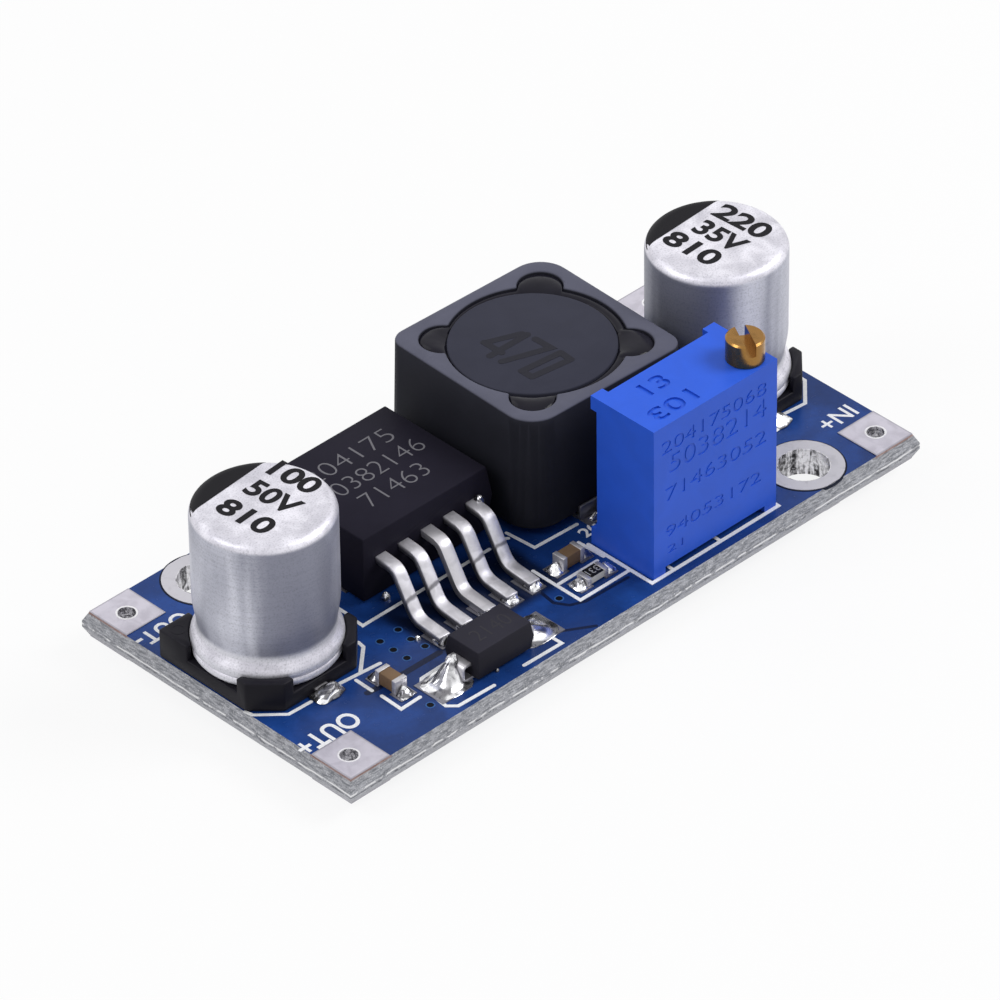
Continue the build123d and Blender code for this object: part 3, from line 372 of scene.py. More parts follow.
@dataclass(frozen=True, kw_only=True)
class CanFinish(Finish):
    """Drawn aluminium with fine drawn lines and specks: painted light on the clouded top, painted reflection in
    broad streaks down the wall, painted shade above the bead and a painted highlight on the bead.
    """

    # Top tones, brighter than the wall: painted light.
    top: tuple[str, str] = ("#f3f1fa", "#d3d1db")
    # Wall tones that the broad streaks mix between: painted reflection.
    wall: tuple[str, str] = ("#d8d9e4", "#8a8c9b")
    # Colour of the bead: painted highlight.
    bead: str = "#d8d8e0"
    grime: str = "#5d5e69"
    bead_top: float = 4.5

    def paint(self, graph: Graph) -> None:
        """Fills the material's tree.

        Args:
            graph: The tree.
        """
        height = graph.axes()[2]
        speck = graph.noise(0.1, 3)
        drawn = graph.noise(0.11, 3, (30, 30, 1))
        cloud = graph.noise(1.4, 4, wave=0.6).rise(0.3, 0.7)
        # Broad vertical streaks: painted reflection on the wall.
        streak = graph.noise(4.15, 3, (1, 1, 6), wave=0.3).rise(0.36, 0.64)
        # Darker towards the bottom above the bead: painted shade.
        low = height.rise(7.5 * MM, self.bead_top * MM) * 0.3
        wall = graph.mix((streak + low).least(1.0), *map(tint, self.wall))
        # The bead is painted lighter: painted highlight.
        bead = height.rise((self.bead_top + 0.2) * MM, (self.bead_top - 0.2) * MM)
        wall = graph.mix(bead, wall, tint(self.bead))
        # Faces that look up take the top tones: painted light.
        colour = graph.mix(graph.facing()[2].rise(0.12, 0.5), wall, graph.mix(cloud, *map(tint, self.top)))
        colour = graph.mix(speck.rise(0.45, 0.75) * 0.3 + drawn.rise(0.4, 0.7) * 0.12, colour, tint(self.grime))
        graph.surface(Base_Color=colour, Metallic=0.45, Roughness=0.36 + speck * 0.12,
                      Normal=graph.bump(speck * 0.5 + drawn * 0.5, 0.009))


@dataclass(frozen=True, kw_only=True)
class WallFinish(Finish):
    """Plated wall of a drilled hole: bright, with dark streaks down the drill marks."""

    light: str = "#e9e8ec"
    dark: str = "#1d1d21"
    size: float = 0.34
    tall: float = 7.0

    def paint(self, graph: Graph) -> None:
        """Fills the material's tree.

        Args:
            graph: The tree.
        """
        streak = graph.noise(self.size, 4, (1, 1, self.tall), wave=0.3)
        share = graph.noise(self.size * 0.7, 3, wave=0.5).rise(0.62, 0.36) * 0.5 + streak.rise(0.42, 0.56) * 0.7
        graph.surface(Base_Color=graph.mix(share.least(1.0), tint(self.dark), tint(self.light)), Metallic=0.8,
                      Roughness=0.2 + streak * 0.14, Normal=graph.bump(streak, 0.05))


@dataclass(frozen=True, kw_only=True)
class SolderFinish(Finish):
    """Mirror-bright solder that froze in folds, with dark patches in between as painted reflection."""

    colour: str = "#f6f6f8"
    # Colour of the painted reflection patches.
    dark: str = "#57565c"
    ripple: float = 0.8

    def paint(self, graph: Graph) -> None:
        """Fills the material's tree.

        Args:
            graph: The tree.
        """
        waves = graph.noise(self.ripple, 2, wave=1.0)
        fine = graph.noise(0.22, 2)
        # Dark patches along the ripples: painted reflection.
        share = waves.rise(0.44, 0.54) * 0.85 + fine.rise(0.55, 0.7) * 0.2
        graph.surface(Base_Color=graph.mix(share.least(1.0), tint(self.colour), tint(self.dark)), Metallic=0.9,
                      Roughness=0.14 + fine * 0.14, Normal=graph.bump(waves, 0.07))


@dataclass(frozen=True, kw_only=True)
class Ink(Finish):
    """Printed ink: flat, a little uneven and with a slightly speckled cover."""

    colour: str
    roughness: float = 0.55
    uneven: float = 0.12
    gloss: float = 0.4

    def paint(self, graph: Graph) -> None:
        """Fills the material's tree.

        Args:
            graph: The tree.
        """
        cover = graph.noise(0.11, 4)
        colour = graph.mix(cover.rise(0.35, 0.65), tint(self.colour, 1 - self.uneven), tint(self.colour))
        graph.surface(Base_Color=colour, Roughness=self.roughness - 0.05 + cover * 0.1,
                      Specular_IOR_Level=self.gloss, Normal=graph.bump(cover, 0.004))


@dataclass(frozen=True, kw_only=True)
class BoardFinish(Finish):
    """Blue solder mask on both faces, with a painted shadow and reflection of the regulator round its leads, and
    broken glass fibre and resin round the edge, with painted light on the edge's down-facing faces.
    """

    light: str = "#1f468f"
    deep: str = "#173774"
    weave: str = "#12295a"
    shade: str = "#0a0e1d"
    fibre: tuple[str, str] = ("#7c7e84", "#b5b6bc")
    # Box, along and across the board, of the painted shadow and reflection round the regulator's leads.
    painted_shadow_field: tuple[Flat, Flat] = ((-10.7, -1.4), (-6.1, -0.9))
    soft: float = 0.45
    ridge: float = 0.82
    crack: float = 0.66

    def paint(self, graph: Graph) -> None:
        """Fills the material's tree.

        Args:
            graph: The tree.
        """
        side_on = graph.facing()[2]
        face = abs(side_on).rise(0.90, 0.97)
        along, across, height = graph.axes()
        weave = graph.noise(0.35, 2)
        cloud = graph.noise(5.5, 3, wave=0.8)
        mask = graph.mix(cloud.rise(0.38, 0.66), tint(self.deep), tint(self.light))
        mask = graph.mix(weave.rise(0.3, 0.7) * 0.2, mask, tint(self.weave))
        # Painted shadow and reflection of the regulator on the mask round its leads.
        dark = side_on.rise(0.2, 0.6)
        for place, (low, high) in zip((along, across), self.painted_shadow_field):
            dark = dark * graph.within(place, low * MM, high * MM, self.soft * MM)
        mask = graph.mix(dark * (cloud.rise(0.25, 0.6) * 0.15 + 0.72), mask, tint(self.shade))
        scratch = graph.noise(0.20, 4, (2.6, 2.6, 0.45))
        speck = graph.noise(0.07, 3)
        wander = height + (graph.noise(1.5, 3) - 0.5) * (0.3 * MM)
        ridge = abs(wander - self.ridge * MM).rise(0.10 * MM, 0.02 * MM) * graph.noise(0.6, 3).rise(0.38, 0.5)
        crack = abs(wander - self.crack * MM).rise(0.07 * MM, 0.01 * MM) * graph.noise(0.5, 3).rise(0.55, 0.62)
        fibre = graph.mix(scratch.rise(0.32, 0.68), *map(tint, self.fibre))
        # Down-facing faces of the edge are painted lighter: painted light from the floor.
        for share, colour in ((speck.rise(0.52, 0.72) * 0.55, "#6f7178"), (speck.rise(0.42, 0.28) * 0.6, "#f4f4f6"),
                              (side_on.rise(-0.1, -0.5) * 0.35, "#e4e4e8"), (crack * 0.7, "#55565c"),
                              (ridge * 0.85, "#fafafb")):
            fibre = graph.mix(share, fibre, tint(colour))
        corner = abs(along).rise(18.5 * MM, 18.7 * MM) * abs(across).rise(7.1 * MM, 7.3 * MM)
        fibre = graph.mix(corner * height.rise(1.48 * MM, 1.55 * MM) * 0.6, fibre, tint("#8f5b43"))
        normal = graph.bump(weave * face * 0.12 + (1 - face) * (scratch * 0.6 + speck * 0.4), 0.05)
        graph.surface(Base_Color=graph.mix(face, fibre, mask), Roughness=0.62 - face * 0.38 + weave * 0.05,
                      Specular_IOR_Level=0.2, Normal=normal)


@dataclass(frozen=True, kw_only=True)
class TerminalFinish(Finish):
    """Tinned terminal: an even satin face with a thin darker outline."""

    inner: Flat = (18.72, 7.28)
    outer: Flat = (21.6, 10.3)

    def paint(self, graph: Graph) -> None:
        """Fills the material's tree.

        Args:
            graph: The tree.
        """
        along, across, _ = graph.axes()
        near = (abs(along) - self.inner[0] * MM).least(self.outer[0] * MM - abs(along))
        near = near.least(abs(across) - self.inner[1] * MM).least(self.outer[1] * MM - abs(across))
        rim = near.rise(0.12 * MM, 0.03 * MM)
        cloud = graph.noise(0.9, 4, wave=0.7)
        fine = graph.noise(0.06, 3)
        colour = graph.mix(cloud.rise(0.35, 0.7), tint("#cfcbd6"), tint("#bfbbc6"))
        colour = graph.mix(rim * 0.45, colour, tint("#75747c"))
        graph.surface(Base_Color=colour, Metallic=0.5, Roughness=0.46 + fine * 0.08,
                      Normal=graph.bump(fine * 0.3 + (1 - rim) * 0.7, 0.02))


class Finishes(Enum):
    """Every finish of the board, by a plain name."""

    LAMINATE = BoardFinish(name="board_laminate", slot="laminate")
    TERMINAL = TerminalFinish(name="tinned_terminal", slot="tinned_copper")
    RING = Metal(name="tinned_ring", slot="tinned_copper", colour="#cbc9d0", roughness=0.42, stretch=(3, 1, 1),
                 metallic=0.6)
    # A darker copy of the tinned copper for the lands: painted shade round the parts' feet, with tarnish.
    SHADED_LAND = Metal(name="shaded_tinned_land", slot="tinned_copper", colour="#8d8c95", roughness=0.34, stretch=(3, 1, 1),
                 metallic=0.7, tarnish=0.6)
    LINING = WallFinish(name="plated_wall", slot="tinned_copper")
    WIRE_HOLE = WallFinish(name="plated_wire_hole", slot="tinned_copper", light="#f2f1f5", dark="#626168",
                           size=0.2, tall=1.0)
    HOLE_RIM = Metal(name="bright_hole_rim", slot="tinned_copper", colour="#f6f5f8", metallic=0.2)
    CAN = CanFinish(name="drawn_aluminium", slot="can_aluminium")
    LEAD = Metal(name="tinned_lead", slot="lead_metal", colour="#cfcdd2", roughness=0.36, grain=0.08,
                 stretch=(1, 3, 3), depth=0.004, metallic=0.7)
    # A darker copy of the lead metal for the inductor's terminals: painted shade under the shield.
    SHADED_LEAD = Metal(name="shaded_lead", slot="lead_metal", colour="#7b7a82", roughness=0.4, tarnish=0.6,
                      metallic=0.7)
    FORMED_LEAD = LeadFinish(name="formed_lead", slot="lead_metal")
    SOLDER = SolderFinish(name="bright_solder", slot="solder")
    SMOOTH_SOLDER = SolderFinish(name="smooth_solder", slot="solder", ripple=1.7)
    # The side values below paint shade on the sides of the base, ferrite, packages and trimmer.
    BLACK_BASE = Moulded(name="black_base", slot="black_plastic", colour="#1f1e25", roughness=0.42, gloss=0.1,
                         side=0.75)
    FERRITE = Moulded(name="grey_ferrite", slot="ferrite", colour="#5e5f6e", roughness=0.55, depth=0.003,
                      gloss=0.05, side=0.155, mottle=0.06)
    DRUM = Moulded(name="dark_drum", slot="ferrite", colour="#3a3b47", roughness=0.55, depth=0.003, gloss=0.04,
                   mottle=0.05)
    WIRE = Metal(name="enamelled_wire", slot="copper_wire", colour="#a85f2c", stretch=(4, 4, 0.6))
    ADHESIVE = Moulded(name="glossy_adhesive", slot="adhesive", colour="#1d1c25", roughness=0.16, grain=0.7,
                       depth=0.02, gloss=0.12)
    PACKAGE = Moulded(name="moulding_compound", slot="moulding_compound", colour="#24222d", roughness=0.55,
                      grain=0.06, depth=0.004, gloss=0.04, side=0.82, mottle=0.07)
    DIODE_PACKAGE = Moulded(name="diode_moulding", slot="moulding_compound", colour="#32313a", roughness=0.5,
                            grain=0.06, depth=0.004, gloss=0.05, side=0.6, mottle=0.07)
    BLUE = Moulded(name="blue_moulding", slot="trimmer_blue", colour="#2b5edb", roughness=0.4, grain=0.14,
                   depth=0.002, mottle=0.05, gloss=0.22, side=0.82)
    BRASS = Metal(name="turned_brass", slot="screw_brass", colour="#9c7440", roughness=0.24,
                  stretch=(1, 1, 0.25), grain=0.16, depth=0.003, tarnish=0.5)
    RUBBER = Moulded(name="red_rubber", slot="seal_rubber", colour="#7a1f16", roughness=0.7)
    CARRIAGE = Moulded(name="white_nylon", slot="carriage_plastic", colour="#d8d5ca")
    SPRING = Metal(name="spring_strip", slot="spring_alloy", colour="#c39a52", roughness=0.25,
                   stretch=(1, 1, 5))
    CERAMIC = Moulded(name="white_ceramic", slot="white_ceramic", colour="#cfcdc6", roughness=0.55, mottle=0.06)
    TAN = Moulded(name="tan_ceramic", slot="tan_ceramic", colour="#786049", roughness=0.4, mottle=0.1,
                  gloss=0.2)
    RESISTIVE = Moulded(name="resistive_film", slot="resistive_film", colour="#1b1b1c", roughness=0.6)
    COLLECTOR = Metal(name="collector_film", slot="collector_film", colour="#c9c5b8", roughness=0.45)
    POTTING = Moulded(name="potting_resin", slot="potting_resin", colour="#15306e", roughness=0.22, grain=0.5,
                      depth=0.03)
    GLAZE = Moulded(name="resistor_glaze", slot="resistor_glaze", colour="#16161a", roughness=0.25, grain=0.2,
                    gloss=0.2)
    WHITE_PRINT = Ink(name="white_print", colour="#f7f8fb", roughness=0.5)
    GREY_PRINT = Ink(name="grey_print", colour="#a9a9ad", roughness=0.5)
    BLACK_PRINT = Ink(name="black_print", colour="#141318", roughness=0.5, gloss=0.12)
    DARK_PRINT = Ink(name="dark_print", colour="#26262f", roughness=0.5, gloss=0.12)
    LASER_MARK = Ink(name="laser_mark", colour="#747379", roughness=0.7, gloss=0.1)
    FAINT_MARK = Ink(name="faint_mark", colour="#3a393f", roughness=0.7, gloss=0.1)
    SHADOW_LINE = Ink(name="shadow_line", colour="#141a2d", roughness=0.5, gloss=0.1)
    MASK_LINE = Ink(name="mask_line", colour="#35609f", roughness=0.3, gloss=0.2)
    BARE_GAP = Ink(name="bare_gap", colour="#0e1c3f", roughness=0.3, gloss=0.2)
    # Near-black ink for the plugs in the via bores: painted shade in the holes.
    VIA_BORE_SHADE = Ink(name="via_bore", colour="#07080e", roughness=0.5, gloss=0.1)

    def material(self) -> bpy.types.Material:
        """The finish's material."""
        return self.value.material()


def dress(finish: Finishes, *nodes: str) -> None:
    """Gives CAD nodes that keep their shape a finish.

    Args:
        finish: The finish.
        nodes: The nodes' names.
    """
    for name in nodes:
        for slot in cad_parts[name].material_slots:
            slot.link = "OBJECT"
            slot.material = finish.material()


class Shape:
    """Points and faces of one piece while it is made, in millimetres of the board's frame."""

    def __init__(self) -> None:
        """Starts with nothing."""
        self.points: list[Spot] = []
        self.faces: list[tuple[int, ...]] = []

    def row(self, points: Iterable[Spot]) -> list[int]:
        """Adds points.

        Args:
            points: The points, in order.

        Returns:
            Their numbers.
        """
        start = len(self.points)
        self.points.extend(points)
        return list(range(start, len(self.points)))

    def skin(self, rows: Sequence[list[int]]) -> None:
        """Joins each closed row of points to the next by quads.

        Args:
            rows: The points' numbers, with as many in each row.
        """
        for low, high in zip(rows, rows[1:]):
            for i in range(len(low)):
                j = (i + 1) % len(low)
                self.faces.append((low[i], low[j], high[j], high[i]))

    def stack(self, outlines: Sequence[Sequence[Spot]]) -> None:
        """Adds a closed form through outlines, with a flat face at both ends.

        Args:
            outlines: The points of each outline, as many in each.
        """
        rows = [self.row(outline) for outline in outlines]
        self.skin(rows)
        self.faces += [tuple(reversed(rows[0])), tuple(rows[-1])]

    def turned(self, profile: Sequence[Flat], centre: Flat, sides: int = 96, hollow: bool = False) -> None:
        """Turns a profile round a vertical line.

        Args:
            profile: Radius and height of each point, from the bottom up.
            centre: Where the line stands.
            sides: The number of steps round it.
            hollow: Whether the profile closes on itself, as in a tube.
        """
        turns = [2 * math.pi * i / sides for i in range(sides)]
        outlines = [[(centre[0] + r * math.cos(a), centre[1] + r * math.sin(a), z) for a in turns]
                    for r, z in profile]
        if hollow:
            rows = [self.row(outline) for outline in outlines]
            self.skin([*rows, rows[0]])
        else:
            self.stack(outlines)

    def ring(self, centre: Flat, reach: Flat, span: Flat, sides: int = 96) -> None:
        """A plain tube round a vertical line, between two radii and two heights."""
        (inner, outer), (low, high) = reach, span
        self.turned([(inner, low), (outer, low), (outer, high), (inner, high)], centre, sides, hollow=True)

    def stroke(self, path: Sequence[Flat], width: float, low: float, high: float) -> None:
        """A flat line of even width with round ends, such as a printed one.

        Args:
            path: Its points.
            width: Its width.
            low: The height of its underside.
            high: The height of its top.
        """
        count, arc, half = len(path), 6, width / 2
        spots = [Vector(p) for p in path]
        ways = [(b - a).normalized() for a, b in zip(spots, spots[1:])]
        right, left = [], []
        for i, spot in enumerate(spots):
            before, after = ways[max(i - 1, 0)], ways[min(i, count - 2)]
            side = Vector((before.y + after.y, -before.x - after.x)).normalized()
            reach = half / max(0.5, side.dot(Vector((after.y, -after.x))))
            right.append(spot + side * reach)
            left.append(spot - side * reach)

        def end(middle: Vector, start: float) -> list[Vector]:
            """The points of a round end, from one side to the other."""
            turns = [start + math.pi * (k + 1) / (arc + 1) for k in range(arc)]
            return [middle + Vector((math.cos(t), math.sin(t))) * half for t in turns]

        far = end(spots[-1], math.atan2(ways[-1].y, ways[-1].x) - math.pi / 2)
        near = end(spots[0], math.atan2(ways[0].y, ways[0].x) + math.pi / 2)
        outline = [*right, *far, *reversed(left), *near]
        under = self.row((p.x, p.y, low) for p in outline)
        over = self.row((p.x, p.y, high) for p in outline)
        self.skin([under, over])
        for ring, turn in ((over, 1), (under, -1)):
            for i in range(count - 1):
                j, k = 2 * count + arc - 1 - i, 2 * count + arc - 2 - i
                self.faces.append((ring[i], ring[i + 1], ring[k], ring[j])[::turn])
            self.faces.append(tuple(ring[count - 1:count + arc + 1])[::turn])
            self.faces.append((*ring[2 * count + arc - 1:], ring[0])[::turn])

    def mound(self, low: Spot, high: Spot, swell: float, seed: float, lean: Flat = (0, 0),
              hanging: bool = False) -> None:
        """A lump of frozen solder that fills a box.

        Args:
            low: The box's lowest corner.
            high: Its highest corner.
            swell: 1 for a dome, and more for a foot that spreads and a narrower top.
            seed: Makes each lump's outline its own.
            lean: Where its top stands, as shares of the box's half length and width from the middle.
            hanging: Whether its foot is at the top.
        """
        steps, sides, corner = 10, 28, 4
        tip, edge_height, folds, dips = 0.03, 0.035, 0.12, 0.10
        middle = [(a + b) / 2 for a, b in zip(low, high)]
        half = [(b - a) / 2 for a, b in zip(low, high)]
        foot, way = (high[2], -1) if hanging else (low[2], 1)
        outlines = []
        for step in range(steps):
            share = step / (steps - 1)
            reach = max(tip, math.cos(share * math.pi / 2))
            skirt = min(edge_height, half[2]) if step else 0.0
            lift = skirt + math.sin(share * math.pi / 2) ** swell * (2 * half[2] - skirt)
            shift = (1 - reach) * share
            ring = []
            for i in range(sides):
                turn = 2 * math.pi * i / sides
                along, across = math.cos(turn), math.sin(turn)
                edge = (abs(along) ** corner + abs(across) ** corner) ** (-1 / corner)
                fold = noise.noise((along * 1.7 + seed, across * 1.7, share * 2.4))
                edge *= reach * (1 - folds * (0.5 + fold))
                dip = 1 - dips * share * (0.5 + noise.noise((along * 2.1, across * 2.1 + seed, 7.0)))
                ring.append((middle[0] + half[0] * (along * edge + lean[0] * shift),
                             middle[1] + half[1] * (across * edge + lean[1] * shift), foot + way * lift * dip))
            outlines.append(ring)
        self.stack(outlines)

    def piece(self, name: str, finish: Finishes, stands_for: Sequence[str] = (), sharp: float = SHARP) -> None:
        """Makes the piece.

        Args:
            name: The piece's name.
            finish: Its finish.
            stands_for: The CAD nodes that it replaces.
            sharp: Edges with a larger angle than this stay sharp, in degrees.
        """
        mesh = bpy.data.meshes.new(name)
        mesh.from_pydata([Vector(p) * MM for p in self.points], [], self.faces)
        settle(mesh, name, finish, stands_for, sharp)


def settle(mesh: bpy.types.Mesh, name: str, finish: Finishes, stands_for: Sequence[str] = (),
           sharp: float = SHARP, body: str = "board") -> None:
    """Turns a mesh in metres into a finished piece on a body.

    Args:
        mesh: The mesh.
        name: The piece's name.
        finish: Its finish.
        stands_for: The CAD nodes that it replaces.
        sharp: Edges with a larger angle than this stay sharp, in degrees.
        body: The body that it moves with.
    """
    work = bmesh.new()
    work.from_mesh(mesh)
    bmesh.ops.recalc_face_normals(work, faces=work.faces)
    work.to_mesh(mesh)
    work.free()
    mesh.shade_smooth()
    mesh.set_sharp_from_angle(angle=math.radians(sharp))
    mesh.materials.clear()
    mesh.materials.append(finish.material())
    made = bpy.data.objects.new(name, mesh)
    bpy.context.scene.collection.objects.link(made)
    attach(made, body)
    if stands_for:
        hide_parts(*stands_for)
    LOG.info("%s: %d faces on %s", name, len(mesh.polygons), body)


def welded(node: str) -> bmesh.types.BMesh:
    """A copy of a CAD node's mesh with its faces joined, to be freed once it is used.

    Args:
        node: The node's name.

    Returns:
        The copy.
    """
    work = bmesh.new()
    work.from_mesh(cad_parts[node].data)
    bmesh.ops.remove_doubles(work, verts=work.verts, dist=SEAM)
    return work


def softened(node: str, finish: Finishes, width: float) -> None:
    """Replaces a CAD node by a copy whose outer edges are rounded.

    Args:
        node: The node's name.
        finish: The copy's finish.
        width: How far the rounding reaches from each edge.
    """
    flat, corner, steps = math.radians(0.6), math.radians(32), 2
    work = welded(node)
    bmesh.ops.dissolve_limit(work, angle_limit=flat, verts=work.verts, edges=work.edges)
    edges = [e for e in work.edges if e.is_manifold and e.is_convex and e.calc_face_angle() > corner]
    bmesh.ops.bevel(work, geom=edges, offset=width * MM, segments=steps, profile=0.5, affect="EDGES",
                    clamp_overlap=True)
    mesh = bpy.data.meshes.new(f"{node}_rounded")
    work.to_mesh(mesh)
    work.free()
    settle(mesh, mesh.name, finish, [node])


@dataclass(frozen=True)
class Lettering:
    """Plain figures or signs on a flat surface, as thin real shapes.

    The figures fill width by height millimetres round the middle, and read along the turn, which is counted
    from the board's length. Upright figures stand on a wall that looks along -Y instead of lying on a top.
    Their thickness starts at the middle and goes out, or in where it is below 0.
    """

    text: str
    middle: Spot
    width: float
    height: float
    turn: float
    thickness: float = 0.012
    weight: float = 0.0
    upright: bool = False

    def mesh(self) -> bpy.types.Mesh:
        """Makes the figures.

        Returns:
            Their mesh, in metres of the board's frame.
        """
        curve = bpy.data.curves.new("figures", "FONT")
        curve.body, curve.size, curve.extrude, curve.offset = self.text, 1.0, 0.5, self.weight
        curve.resolution_u = 5
        holder = bpy.data.objects.new("figures", curve)
        bpy.context.scene.collection.objects.link(holder)
        bpy.context.view_layer.update()
        made = bpy.data.meshes.new_from_object(holder.evaluated_get(bpy.context.evaluated_depsgraph_get()))
        bpy.data.objects.remove(holder)
        bpy.data.curves.remove(curve)
        spots = [v.co for v in made.vertices]
        low = [min(s[i] for s in spots) for i in range(3)]
        high = [max(s[i] for s in spots) for i in range(3)]
        centre = Vector([(a + b) / 2 for a, b in zip(low, high)])
        scale = (self.width / (high[0] - low[0]), self.height / (high[1] - low[1]), abs(self.thickness))
        lift = Matrix.Translation((0, 0, self.thickness / 2))
        spin = Matrix.Rotation(math.radians(self.turn), 4, "Z")
        if self.upright:
            spin = Matrix.Rotation(math.pi / 2, 4, "X") @ spin
        place = Matrix.Scale(MM, 4) @ Matrix.Translation(self.middle) @ spin @ lift
        made.transform(place @ Matrix.Diagonal((*scale, 1)) @ Matrix.Translation(-centre))
        merged = bmesh.new()
        merged.from_mesh(made)
        bmesh.ops.remove_doubles(merged, verts=merged.verts, dist=FIGURE_SEAM)
        merged.to_mesh(made)
        merged.free()
        return made


def joined(name: str, lines: Sequence[Lettering]) -> bpy.types.Mesh:
    """Makes one mesh of several lines of figures.

    Args:
        name: The mesh's name.
        lines: The lines.

    Returns:
        The mesh.
    """
    whole = bmesh.new()
    for line in lines:
        part = line.mesh()
        whole.from_mesh(part)
        bpy.data.meshes.remove(part)
    mesh = bpy.data.meshes.new(name)
    whole.to_mesh(mesh)
    whole.free()
    return mesh


def lettering(name: str, finish: Finishes, lines: Sequence[Lettering]) -> None:
    """Lines of figures as one piece on the board, in one ink."""
    settle(joined(name, lines), name, finish)


def carved(node: str, name: str, finish: Finishes, lines: Sequence[Lettering]) -> None:
    """Replaces a CAD node by a copy with figures sunk into it.

    Args:
        node: The node's name.
        name: The new piece's name.
        finish: Its finish.
        lines: The figures, with a thickness that goes through the surface.
    """
    work = welded(node)
    whole = bpy.data.meshes.new("whole")
    work.to_mesh(whole)
    work.free()
    block, cutter = (bpy.data.objects.new(part.name, part) for part in (whole, joined("cutter", lines)))
    for part in (block, cutter):
        bpy.context.scene.collection.objects.link(part)
    cut = block.modifiers.new("figures", "BOOLEAN")
    cut.operation, cut.solver, cut.object = "DIFFERENCE", "EXACT", cutter
    bpy.context.view_layer.update()
    mesh = bpy.data.meshes.new_from_object(block.evaluated_get(bpy.context.evaluated_depsgraph_get()))
    for part in (block, cutter):
        bpy.data.objects.remove(part)
    mesh.name = name
    settle(mesh, name, finish, [node], sharp=4)


def solids_of(node: str) -> list[tuple[Spot, Spot]]:
    """Finds the separate solids of a CAD node.

    Args:
        node: The node's name.

    Returns:
        The lowest and highest corner of each, in millimetres.
    """
    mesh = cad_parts[node].data
    spots = [tuple(round(c / MM, 3) for c in v.co) for v in mesh.vertices]
    group = {s: {s} for s in spots}
    for face in mesh.polygons:
        first = group[spots[face.vertices[0]]]
        for i in face.vertices[1:]:
            other = group[spots[i]]
            if other is not first:
                first |= other
                for s in other:
                    group[s] = first
    found = {id(g): g for g in group.values()}
    return [(tuple(map(min, *g)), tuple(map(max, *g))) for g in found.values()]


class Assembly:
    """A sub-assembly: it builds pieces of its own, and dresses the CAD nodes that keep their main shape."""

    def build(self) -> None:
        """Builds the pieces that only the dressed model has."""

    def dress(self) -> None:
        """Gives the CAD nodes their finishes."""


